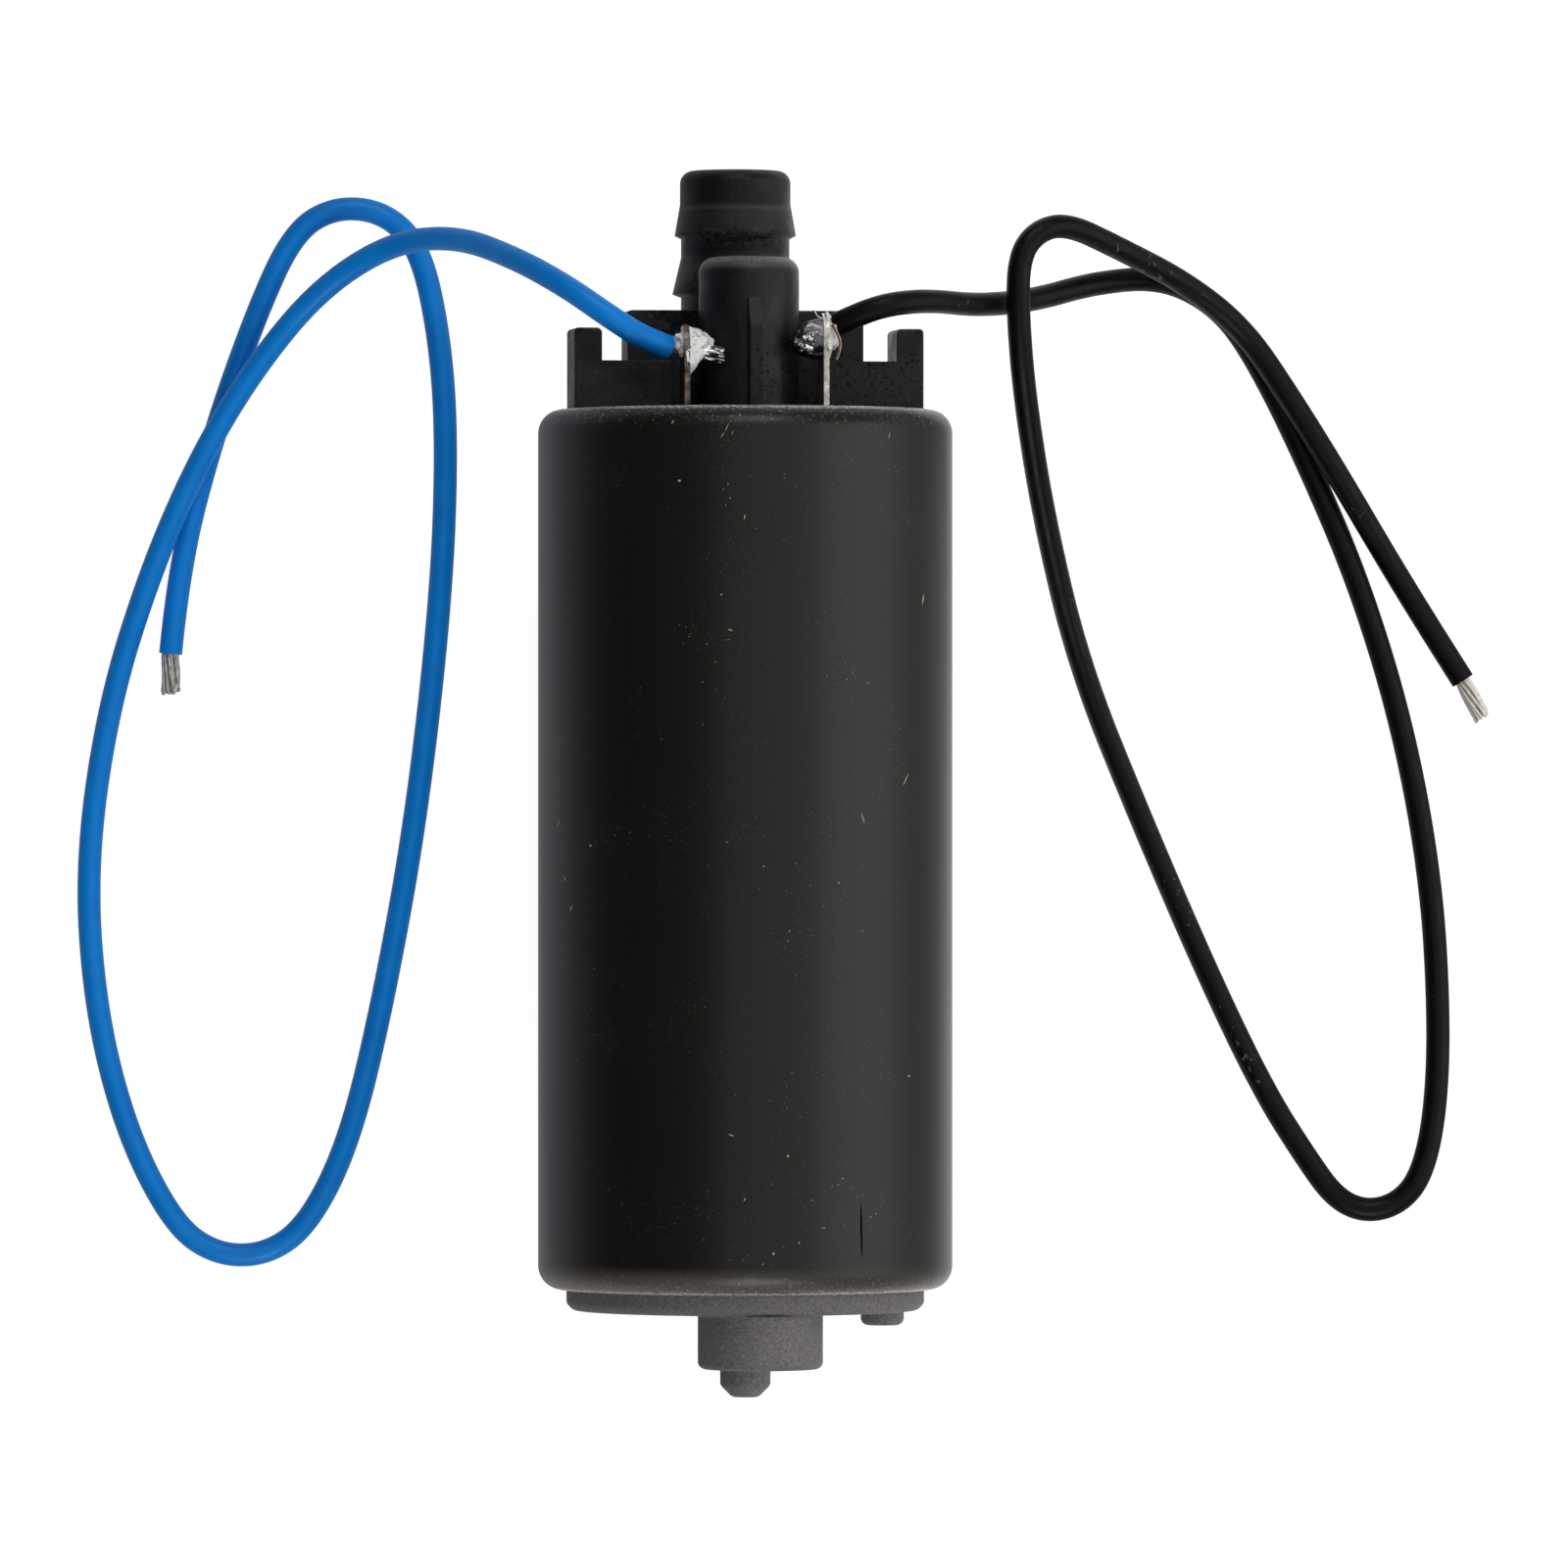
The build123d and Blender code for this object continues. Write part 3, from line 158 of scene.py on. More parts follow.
def add(tree, kind, inputs=None, **settings):
    """Adds a node to a tree with its settings and with what feeds its sockets."""
    made = tree.nodes.new("ShaderNode" + kind)
    for name, value in settings.items():
        setattr(made, name, value)
    feed(made, inputs or {})
    return made


def finish(name, colour, roughness, metallic=0.0, shine=0.5):
    """Starts a material with its tree, its shader and the place on the piece, in metres."""
    made = bpy.data.materials.new(name)
    made.use_nodes = True
    tree = made.node_tree
    shader = tree.nodes["Principled BSDF"]
    feed(shader, {"Base Color": colour, "Roughness": roughness, "Metallic": metallic,
                  "Specular IOR Level": shine})
    return made, tree, shader, add(tree, "TexCoord").outputs["Object"]


def mottle(tree, shader, place, first, second, size, contrast=0.5):
    """Lets the colour wander between two tones in patches of a size in millimetres."""
    patches = add(tree, "TexNoise", {"Scale": 1 / (size * MM), "Detail": 3.0, "Roughness": 0.6,
                                     "Vector": place})
    spread = add(tree, "MapRange", {"Value": patches, "From Min": 0.5 - contrast / 2,
                                    "From Max": 0.5 + contrast / 2})
    tones = add(tree, "MixRGB", {"Fac": spread, "Color1": first, "Color2": second})
    feed(shader, {"Base Color": tones})
    return tones


def grain(tree, shader, place, size, depth, detail=3.0):
    """Roughens the surface with grains of a size and a depth in millimetres."""
    grains = add(tree, "TexNoise", {"Scale": 1 / (size * MM), "Detail": detail, "Vector": place})
    feed(shader, {"Normal": add(tree, "Bump", {"Height": grains, "Distance": depth * MM})})


def uneven(tree, shader, place, low, high, size):
    """Lets the roughness wander between two values in patches of a size in millimetres."""
    patches = add(tree, "TexNoise", {"Scale": 1 / (size * MM), "Detail": 4.0, "Vector": place})
    spread = add(tree, "MapRange", {"Value": patches, "From Min": 0.3, "From Max": 0.7, "To Min": low,
                                    "To Max": high})
    feed(shader, {"Roughness": spread})


def lay_over(tree, tones, *layers):
    """Lays colours over the tones, one after the other, each by its share."""
    for share, colour in layers:
        tones = add(tree, "MixRGB", {"Fac": share, "Color1": tones, "Color2": colour})
    return tones


def plain(name, colour, dark, pale, patches, grains, depth, roughness, metallic=0.0, contrast=0.5):
    """A material of two tones in patches, with grains of a depth, all three in millimetres."""
    made, tree, shader, place = finish(name, colour, roughness, metallic)
    mottle(tree, shader, place, dark, pale, patches, contrast)
    grain(tree, shader, place, grains, depth)
    return made


def from_middle(tree, along, middle, none, whole):
    """Goes by a place's distance from a middle, in millimetres: 0 at the one, 1 at the other."""
    offset = add(tree, "Math", {0: along, 1: middle * MM}, operation="SUBTRACT")
    away = add(tree, "Math", {0: offset}, operation="ABSOLUTE")
    return add(tree, "MapRange", {"Value": away, "From Min": none * MM, "From Max": whole * MM})


def strewn(tree, place, specks, drifts, spread, bars, margin, strength):
    """Specks thrown in loose drifts: 0 to strength, which they reach by a margin over their bar.

    Specks and drifts are each a size in millimetres and a detail. As the drifts' noise goes through its
    spread, the bar that the specks' noise has to pass goes from the first of the bars to the second."""
    fine = add(tree, "TexNoise", {"Scale": 1 / (specks[0] * MM), "Detail": specks[1], "Vector": place})
    wide = add(tree, "TexNoise", {"Scale": 1 / (drifts[0] * MM), "Detail": drifts[1], "Vector": place})
    bar = add(tree, "MapRange", {"Value": wide, "From Min": spread[0], "From Max": spread[1],
                                 "To Min": bars[0], "To Max": bars[1]})
    over = add(tree, "Math", {0: fine, 1: bar}, operation="SUBTRACT")
    return add(tree, "MapRange", {"Value": over, "From Max": margin, "To Max": strength})


def edge_wear(tree, place, rounded, size, reach):
    """Where the rounded edges show, broken up by patches of a size in millimetres: 0 to reach."""
    surface = add(tree, "NewGeometry").outputs["True Normal"]
    same = add(tree, "VectorMath", {0: rounded, 1: surface}, operation="DOT_PRODUCT").outputs["Value"]
    edge = add(tree, "MapRange", {"Value": same, "From Min": 0.995, "From Max": 0.93, "To Max": reach})
    patches = add(tree, "TexNoise", {"Scale": 1 / (size * MM), "Detail": 4.0, "Roughness": 0.7,
                                     "Vector": place})
    broken = add(tree, "MapRange", {"Value": patches, "From Min": 0.46, "From Max": 0.6})
    return add(tree, "Math", {0: edge, 1: broken}, operation="MULTIPLY")


def spot(tree, place, x, y, length, width, slant, soft, strength):
    """A mark on the can's upper side, in millimetres and degrees, whole out to its soft share of a size."""
    local = add(tree, "Mapping", {"Vector": place, "Location": (x * MM, y * MM, MARK_HEIGHT * MM),
                                  "Rotation": (0, 0, radians(slant)),
                                  "Scale": (width / 2 * MM, length / 2 * MM, MARK_REACH * MM)},
                vector_type="TEXTURE")
    away = add(tree, "VectorMath", {0: local}, operation="LENGTH").outputs["Value"]
    return add(tree, "MapRange", {"Value": away, "From Min": 1.0, "From Max": soft, "To Max": strength})


def coated_steel():
    """Deep-drawn steel can, electrocoated black: satin, a little warm, dusty, worn where it is rolled."""
    look = bpy.context.scene.pump_can
    made, tree, shader, place = finish("drawn_steel_electrocoated", look.coating, look.coating_roughness,
                                       shine=0.35)
    # The coating's film pools and thins a little over some millimetres
    film = add(tree, "TexNoise", {"Scale": 1 / (9 * MM), "Detail": 5.0, "Roughness": 0.65,
                                  "Vector": place})
    tones = add(tree, "MixRGB", {"Fac": film, "Color1": look.coating, "Color2": look.coating_pale})
    # Dust and chips show as pale dots of about 0.25 mm, with finer and fainter dust between them
    dust = strewn(tree, place, (0.32, 2.0), (11, 2.0), (0.35, 0.68), (0.86, 0.715), 0.05, 0.55)
    motes = strewn(tree, place, (0.17, 1.0), (6, 2.0), (0.35, 0.65), (0.8, 0.7), 0.06, 0.16)
    dusty = add(tree, "Math", {0: dust, 1: motes}, operation="MAXIMUM")
    # Bare metal along both rolled ends and, denser, their lips, broken up by the roller's chatter
    parts = add(tree, "SeparateXYZ", {"Vector": place})
    chatter = add(tree, "TexNoise", {"Scale": 1 / (0.28 * MM), "Detail": 4.0, "Roughness": 0.7,
                                     "Vector": place})
    half = CAN_LENGTH / 2
    worn_parts = []
    for inner, outer, least, most in ((2.1, 0.0, 0.58, 0.73), (0.36, 0.16, 0.4, 0.6)):
        rolled = from_middle(tree, parts.outputs["Y"], half - ORIGIN_HEIGHT, half - inner, half - outer)
        flecks = add(tree, "MapRange", {"Value": chatter, "From Min": least, "From Max": most})
        worn_parts.append(add(tree, "Math", {0: rolled, 1: flecks}, operation="MULTIPLY"))
    worn = add(tree, "Math", dict(enumerate(worn_parts)), operation="MAXIMUM")
    # The flat of the rims hardly touched the roller
    facing = add(tree, "SeparateXYZ", {"Vector": add(tree, "TexCoord").outputs["Normal"]})
    flat = add(tree, "Math", {0: facing.outputs["Y"]}, operation="ABSOLUTE")
    spared = add(tree, "MapRange", {"Value": flat, "From Min": 0.98, "From Max": 0.999, "To Min": 1.0,
                                    "To Max": 0.2})
    rubbed_off = add(tree, "Math", {0: worn, 1: spared}, operation="MULTIPLY")
    pale = add(tree, "Math", {0: rubbed_off, 1: dusty}, operation="MAXIMUM")
    # The roll at the inlet end is made paler and brownish, more on its left
    inlet_roll = add(tree, "MapRange", {"Value": parts.outputs["Y"], "From Min": (2.6 - ORIGIN_HEIGHT) * MM,
                                    "From Max": (0.9 - ORIGIN_HEIGHT) * MM})
    leaning = add(tree, "MapRange", {"Value": parts.outputs["X"], "From Min": -9 * MM,
                                     "From Max": 12 * MM, "To Min": 0.68, "To Max": 0.26})
    inlet_roll_paling = add(tree, "Math", {0: inlet_roll, 1: leaning}, operation="MULTIPLY")
    for x, y, length, width, slant, strength in SCRATCHES:
        mark = spot(tree, place, x, y, length, width, slant, 0.6, strength)
        pale = add(tree, "Math", {0: pale, 1: mark}, operation="MAXIMUM")
    # The deep score is painted dark, as painted shade in its narrow groove, and it holds no shine
    score = spot(tree, place, *SCORE, 0.8, 1.0)
    tones = lay_over(tree, tones, (inlet_roll_paling, "#6F655F"), (pale, look.worn), (score, "#020202"))
    shine = add(tree, "MapRange", {"Value": score, "To Min": 0.35, "To Max": 0.0})
    # A fine orange peel, drawn at 0.5 mm so that it shows
    peel = add(tree, "TexNoise", {"Scale": 1 / (0.5 * MM), "Detail": 2.0, "Vector": place})
    relief = add(tree, "Bump", {"Height": peel, "Strength": 0.35, "Distance": 0.006 * MM})
    feed(shader, {"Base Color": tones, "Specular IOR Level": shine, "Normal": relief})
    return made


def cast_alloy():
    """Zinc alloy casting, shot-blasted and blackened: dead matt, with a sandy grain and painted glints
    where it catches light.
    """
    look = bpy.context.scene.pump_covers
    made, tree, shader, place = finish("zinc_alloy_cast_blackened", look.casting, 0.72, shine=0.4)
    # Grain of about 0.3 mm, coarser than the real 0.1 mm so that it shows, over rounded edges
    grains = add(tree, "TexNoise", {"Scale": 1 / (0.26 * MM), "Detail": 4.0, "Vector": place})
    rounded = add(tree, "Bevel", {"Radius": 0.45 * MM}, samples=6)
    relief = add(tree, "Bump", {"Height": grains, "Distance": 0.03 * MM, "Normal": rounded})
    crests = add(tree, "MapRange", {"Value": grains, "From Min": 0.22, "From Max": 0.82})
    tones = add(tree, "MixRGB", {"Fac": crests, "Color1": look.casting_dark, "Color2": look.casting})
    # Pale specks of about 0.22 mm are painted glints of grains catching the light
    glint_noise = add(tree, "TexNoise", {"Scale": 1 / (0.22 * MM), "Detail": 1.0, "Vector": place})
    painted_glints = add(tree, "MapRange", {"Value": glint_noise, "From Min": 0.7, "From Max": 0.76, "To Max": 0.5})
    feed(shader, {"Base Color": lay_over(tree, tones, (painted_glints, "#A3A09C")), "Normal": relief})
    return made


def filled_nylon():
    """Glass-filled nylon, moulded: black, a soft sheen, with pits and fibre specks and parting lines."""
    look = bpy.context.scene.pump_covers
    made, tree, shader, place = finish("glass_filled_nylon_moulded", look.moulding, 0.5, shine=0.36)
    parts = add(tree, "SeparateXYZ", {"Vector": place})
    across, along = parts.outputs["X"], parts.outputs["Y"]
    flow = add(tree, "TexNoise", {"Scale": 1 / (3.5 * MM), "Detail": 4.0, "Vector": place})
    tones = add(tree, "MixRGB", {"Fac": flow, "Color1": look.moulding, "Color2": look.moulding_pale})
    # The plate is pitted, less on its left; the boss and the barb filled the mould well
    pits = add(tree, "TexNoise", {"Scale": 1 / (0.36 * MM), "Detail": 1.0, "Vector": place})
    found = add(tree, "MapRange", {"Value": pits, "From Min": 0.33, "From Max": 0.4, "To Min": 0.85,
                                   "To Max": 0.0})
    plate = add(tree, "MapRange", {"Value": along, "From Min": 41 * MM, "From Max": 39.5 * MM,
                                   "To Min": 0.12})
    rightward = add(tree, "MapRange", {"Value": across, "From Min": -3 * MM, "From Max": 3 * MM,
                                       "To Min": 0.35})
    share = add(tree, "Math", {0: plate, 1: rightward}, operation="MULTIPLY")
    holes = add(tree, "Math", {0: found, 1: share}, operation="MULTIPLY")
    # The barb is duller, and a pit holds no shine, which is most of what the eye gets from black nylon
    gloss = add(tree, "MapRange", {"Value": along, "From Min": 48.6 * MM, "From Max": 49 * MM,
                                   "To Min": 0.36, "To Max": 0.25})
    shine = add(tree, "MapRange", {"Value": holes, "To Min": gloss, "To Max": 0.06})
    fibres = add(tree, "MapRange", {"Value": pits, "From Min": 0.7, "From Max": 0.78, "To Max": 0.12})
    # The mould's parting line runs up the barb's highest line, as a groove painted a little darker with
    # painted shade
    line = from_middle(tree, across, -0.95, 0.12, 0.05)
    high = add(tree, "MapRange", {"Value": along, "From Min": 48 * MM, "From Max": 49 * MM})
    seam = add(tree, "Math", {0: line, 1: high}, operation="MULTIPLY")
    # Handling has polished and chipped the corners
    rounded = add(tree, "Bevel", {"Radius": 0.35 * MM}, samples=6)
    worn = edge_wear(tree, place, rounded, 0.5, 0.4)
    # The boss's shoulder is dusty, in grains of 0.2 mm, drawn coarser than the real powder
    shoulder = from_middle(tree, along, 47.4, 1.4, 0.7)
    facing = add(tree, "SeparateXYZ", {"Vector": add(tree, "TexCoord").outputs["Normal"]})
    upward = add(tree, "MapRange", {"Value": facing.outputs["Y"], "From Min": 0.15, "From Max": 0.75})
    settled = add(tree, "Math", {0: shoulder, 1: upward}, operation="MULTIPLY")
    grains = add(tree, "TexNoise", {"Scale": 1 / (0.2 * MM), "Detail": 3.0, "Vector": place})
    patchy = add(tree, "MapRange", {"Value": grains, "From Min": 0.3, "From Max": 0.7, "To Min": 0.3})
    loose = add(tree, "Math", {0: settled, 1: patchy}, operation="MULTIPLY")
    # The barb's mould halves meet in a paler crease round it, over a slightly paler cone
    wander = add(tree, "TexNoise", {"Scale": 1 / (2.2 * MM), "Detail": 2.0, "Vector": place})
    shifted = add(tree, "Math", {0: wander, 1: 0.5 * MM, 2: along}, operation="MULTIPLY_ADD")
    crease = from_middle(tree, shifted, 53.3, 0.38, 0.05)
    cone = from_middle(tree, along, 51.8, 1.3, 1.15)
    below = add(tree, "Math", {0: cone, 1: 0.08, 2: loose}, operation="MULTIPLY_ADD")
    powder = add(tree, "Math", {0: crease, 1: 0.17, 2: below}, operation="MULTIPLY_ADD")
    # The pits and the parting line's groove are painted a little darker, as painted shade in them
    tones = lay_over(tree, tones, (holes, "#0B0B0C"), (fibres, "#8C8A88"), (seam, "#0A0A0C"),
                     (worn, "#55534F"), (powder, "#6E6D70"))
    dents = add(tree, "Math", {0: pits, 1: seam}, operation="SUBTRACT")
    relief = add(tree, "Bump", {"Height": dents, "Strength": 0.6, "Distance": 0.02 * MM,
                                "Normal": rounded})
    feed(shader, {"Base Color": tones, "Specular IOR Level": shine, "Normal": relief})
    uneven(tree, shader, place, 0.44, 0.6, 2.0)
    return made


def extruded_pvc(name, colour, pale, roughness, shine, scuffs):
    """Soft PVC insulation, extruded: waxy, its colour and shine a little uneven, with pale scuffs."""
    made, tree, shader, place = finish(name, colour, roughness, shine=shine)
    tones = mottle(tree, shader, place, colour, pale, 4.0, 0.6)
    # The scuffs, of about 0.4 mm, are where the lead was handled
    scuffed = strewn(tree, place, (0.5, 2.0), (14, 1.0), (0.4, 0.62), (0.82, 0.65), 0.06, scuffs)
    feed(shader, {"Base Color": lay_over(tree, tones, (scuffed, "#9A9896"))})
    grain(tree, shader, place, 0.6, 0.008, 2.0)
    uneven(tree, shader, place, roughness - 0.06, roughness + 0.1, 1.5)
    return made


def tinned_copper(name, dark, pale, metallic):
    """Copper strands, drawn and tinned: pale metal with greyer hollows between the strands."""
    return plain(name, pale, dark, pale, 0.5, 0.12, 0.01, roughness=0.32, metallic=metallic,
                 contrast=0.4)


def untinned_copper():
    """One copper strand whose tin has burnt off at the iron: dull, brassy brown."""
    return plain("copper_strand_scorched", "#8F7F66", "#6E5D45", "#A89678", 0.5, 0.12, 0.01,
                 roughness=0.4, metallic=1.0, contrast=0.4)


def braided_copper():
    """Bare copper strands, drawn and twisted into a braid: warm and bright, darker in its hollows."""
    return plain("copper_strands_twisted", "#B5734E", "#8A5236", "#C98A63", 0.4, 0.12, 0.01,
                 roughness=0.34, metallic=1.0, contrast=0.4)


def tinned_brass(name, dark, pale):
    """Brass strip, stamped and tinned: dull silver, smeared and browned along the cut edges."""
    made, tree, shader, place = finish(name, pale, 0.38, 1.0)
    mottle(tree, shader, place, dark, pale, 0.6, 0.35)
    grain(tree, shader, place, 0.25, 0.02)
    uneven(tree, shader, place, 0.25, 0.55, 0.8)
    return made


def solder_metal(name, colour, bright, dull, metallic, crusted):
    """Tin-lead solder, flowed by hand: bright where it wetted, frosted and crusted where it cooled."""
    made, tree, shader, place = finish(name, colour, bright, metallic)
    flux = add(tree, "TexNoise", {"Scale": 1 / (0.36 * MM), "Detail": 4.0, "Roughness": 0.7,
                                  "Vector": place})
    crust = add(tree, "MapRange", {"Value": flux, "From Min": crusted, "From Max": crusted + 0.04})
    feed(shader, {"Base Color": lay_over(tree, colour, (crust, "#241F1B"))})
    grain(tree, shader, place, 0.4, 0.07, 4.0)
    uneven(tree, shader, place, bright, dull, 0.5)
    return made


def ferrite():
    """Strontium ferrite, pressed and ground: dark grey ceramic with a dusty face."""
    return plain("ferrite_pressed_ground", "#3A3A3C", "#323234", "#454547", 1.2, 0.3, 0.02,
                 roughness=0.7)


def carbon():
    """Carbon graphite, pressed: soft black with a faint metallic bloom."""
    return plain("carbon_graphite_pressed", "#2A2A2B", "#222223", "#353537", 0.8, 0.2, 0.015,
                 roughness=0.48)


def enamelled_copper():
    """Copper magnet wire, enamelled and wound: reddish, with the turns showing as 0.5 mm ridges."""
    made, tree, shader, place = finish("copper_wire_enamelled", "#9A4E2A", 0.28, 0.9)
    mottle(tree, shader, place, "#7E3A1D", "#B8663A", 1.5)
    turned = add(tree, "Mapping", {"Vector": place, "Rotation": (radians(24), 0, radians(12))})
    turns = add(tree, "TexWave", {"Scale": RIDGES, "Distortion": 1.2, "Detail": 1.0, "Vector": turned},
                bands_direction="X").outputs["Fac"]
    feed(shader, {"Normal": add(tree, "Bump", {"Height": turns, "Strength": 0.8, "Distance": 0.1 * MM})})
    return made


def stacked_steel():
    """Silicon steel laminations, stamped and stacked: grey, with a dark line every 0.5 mm."""
    made, tree, shader, place = finish("silicon_steel_laminations", "#6F6F72", 0.42, 1.0)
    sheets = add(tree, "TexWave", {"Scale": RIDGES, "Detail": 0.0, "Vector": place},
                 bands_direction="Y").outputs["Fac"]
    tones = add(tree, "MixRGB", {"Fac": sheets, "Color1": "#3B3A3A", "Color2": "#7C7C80"})
    relief = add(tree, "Bump", {"Height": sheets, "Strength": 0.6, "Distance": 0.04 * MM})
    feed(shader, {"Base Color": tones, "Normal": relief})
    return made


def ground_steel():
    """Bearing steel, centreless ground: bright, with hair lines round it."""
    made, tree, shader, place = finish("bearing_steel_ground", "#C8C8C6", 0.22, 1.0)
    stretched = add(tree, "Mapping", {"Vector": place, "Scale": (1.0, 14.0, 1.0)})
    lines = add(tree, "TexNoise", {"Scale": 1 / (1.2 * MM), "Detail": 4.0, "Vector": stretched})
    spread = add(tree, "MapRange", {"Value": lines, "To Min": 0.14, "To Max": 0.34})
    relief = add(tree, "Bump", {"Height": lines, "Strength": 0.3, "Distance": 0.004 * MM})
    feed(shader, {"Roughness": spread, "Normal": relief})
    return made


def spring_wire():
    """Spring steel wire, cold drawn and coiled: bright grey with oil-brown patches."""
    return plain("spring_steel_drawn", "#A9A7A2", "#8F8A80", "#BDBBB6", 1.0, 0.2, 0.005,
                 roughness=0.3, metallic=1.0)


def sintered_bronze():
    """Bronze bush, sintered and oiled: warm, with fine open pores."""
    return plain("bronze_sintered", "#9B7440", "#7A5A30", "#A88250", 0.5, 0.15, 0.02,
                 roughness=0.42, metallic=1.0)


def cast_aluminium():
    """Aluminium pump casing, die-cast and lapped: pale grey, faintly mottled."""
    return plain("aluminium_die_cast", "#B4B6B8", "#9FA1A4", "#C2C4C6", 2.0, 0.3, 0.015,
                 roughness=0.46, metallic=1.0)


def moulded_resin(name, colour, pale):
    """Thermoset or acetal part, moulded: even and satin, with slight flow marks."""
    return plain(name, colour, colour, pale, 3.0, 0.4, 0.01, roughness=0.46)


def nitrile_rubber():
    """Nitrile rubber, moulded: soft black, matt, with a grey bloom."""
    return plain("nitrile_rubber_moulded", "#1E1E1F", "#19191A", "#2A2A2B", 1.5, 0.3, 0.02,
                 roughness=0.75)


def seen(tree):
    """1 for what the camera sees, straight or through glass, and 0 for the rest."""
    path = add(tree, "LightPath").outputs
    return add(tree, "Math", {0: path["Is Camera Ray"], 1: path["Is Transmission Ray"]},
               operation="MAXIMUM")


def paper_floor(colour):
    """White paper floor: white to the eye, with the pump's soft shadow kept on it."""
    paper = bpy.data.materials.new("paper_floor")
    paper.use_nodes = True
    tree = paper.node_tree
    tree.nodes.clear()
    # What the pump mirrors is the paper's glow, painted with a pool of light close beside it on the lamp's
    # side and painted shade on its left, darker still further left
    across = add(tree, "SeparateXYZ", {"Vector": add(tree, "TexCoord").outputs["Object"]}).outputs["X"]
    painted_light_pool = add(tree, "MapRange", {"Value": across, "From Min": 0.052, "From Max": 0.024, "To Min": 0.48,
                                  "To Max": 1.4})
    painted_shade_left = add(tree, "MapRange", {"Value": across, "From Min": -0.015, "From Max": 0.015,
                                    "To Min": 0.6, "To Max": 1.4})
    painted_shade_far_left = add(tree, "MapRange", {"Value": across, "From Min": -0.14, "From Max": -0.06,
                                      "To Min": 0.3})
    least = add(tree, "Math", {0: painted_light_pool, 1: painted_shade_left}, operation="MINIMUM")
    painted_light_level = add(tree, "Math", {0: least, 1: painted_shade_far_left}, operation="MULTIPLY")
    painted_reflection_glow = add(tree, "Emission", {"Color": colour, "Strength": painted_light_level})
    dull = add(tree, "BsdfDiffuse", {"Color": "#E6E6E6"})
    indirect = add(tree, "MixShader", {0: add(tree, "LightPath").outputs["Is Glossy Ray"], 1: dull,
                                       2: painted_reflection_glow})
    # The eye gets the paper's own glow with the shadow that falls on it
    glow = add(tree, "Emission", {"Color": colour, "Strength": 0.9})
    shade = add(tree, "BsdfDiffuse", {"Color": "#A8A8A8"})
    bright = add(tree, "AddShader", {0: glow, 1: shade})
    both = add(tree, "MixShader", {0: seen(tree), 1: indirect, 2: bright})
    add(tree, "OutputMaterial", {"Surface": both})
    return paper


def studio_sky():
    """The studio's walls: dim as a light, white where the camera looks past the floor."""
    sky = bpy.data.worlds.new("studio")
    sky.use_nodes = True
    tree = sky.node_tree
    tree.nodes.clear()
    dim = add(tree, "Background", {"Color": "#FFFFFF", "Strength": 0.045})
    white = add(tree, "Background", {"Color": "#FFFFFF", "Strength": 1.0})
    both = add(tree, "MixShader", {0: seen(tree), 1: dim, 2: white})
    add(tree, "OutputWorld", {"Surface": both})
    return sky


def dress(material, *names):
    """Gives CAD nodes one material."""
    for name in names:
        mesh = NODES[name].data
        mesh.materials.clear()
        mesh.materials.append(material)


def soften(name, width, chosen=None):
    """Rounds the sharp edges of a CAD node by a width in millimetres, or those between chosen points."""
    piece = NODES[name]
    weld = piece.modifiers.new("weld", "WELD")
    weld.merge_threshold = 0.001 * MM
    flat = piece.modifiers.new("flat_faces", "DECIMATE")
    flat.decimate_type = "DISSOLVE"
    flat.angle_limit = radians(0.5)
    bevel = piece.modifiers.new("edges", "BEVEL")
    bevel.width = width * MM
    bevel.segments = 3
    bevel.limit_method = "ANGLE"
    bevel.angle_limit = radians(38)
    bevel.use_clamp_overlap = False
    bevel.harden_normals = True
    if chosen:
        points = [point.index for point in piece.data.vertices if chosen(*point.co / MM)]
        corners = piece.vertex_groups.new(name="corners")
        corners.add(points, 1.0, "REPLACE")
        bevel.limit_method = "VGROUP"
        bevel.vertex_group = "corners"


def on_walls(x, y, z):
    """Whether a point, in millimetres as it lies, is on the edges of the outlet cover's walls or rib."""
    return (abs(x) > 10.5 and y > 38.8) or (0.2 < x < 2.0 and 41.8 < y < 45 and z > 26.5)


def put(piece, material):
    """Places a new piece on the housing with its material, parented to the housing's body."""
    if piece.name not in bpy.context.scene.collection.objects:
        bpy.context.scene.collection.objects.link(piece)
    piece.data.materials.append(material)
    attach(piece, "housing")
    return piece


def wires(name, lines, thickness, roundness, smoothness):
    """Smooth round wires through lines of points in metres, capped at their ends.

    Roundness goes by the sides of a wire, smoothness by its steps between two points."""
    curve = bpy.data.curves.new(name, "CURVE")
    curve.dimensions = "3D"
    curve.bevel_depth = thickness / 2
    curve.bevel_resolution = roundness
    curve.resolution_u = smoothness
    curve.use_fill_caps = True
    for line in lines:
        spline = curve.splines.new("NURBS")
        spline.points.add(len(line) - 1)
        for point, place in zip(spline.points, line):
            point.co = (*place, 1)
        spline.order_u = 3
        spline.use_endpoint_u = True
    return bpy.data.objects.new(name, curve)


def strand_places(count):
    """Places of strands packed in a round bundle, as shares of its radius, from the middle out."""
    places = [(0.0, 0.0)]
    for number, reach in ((6, 0.45), (12, 0.86)):
        for step in range(number):
            angle = 2 * pi * (step + 0.3 * number / 6) / number
            places.append((reach * cos(angle), reach * sin(angle)))
    return places[:count]


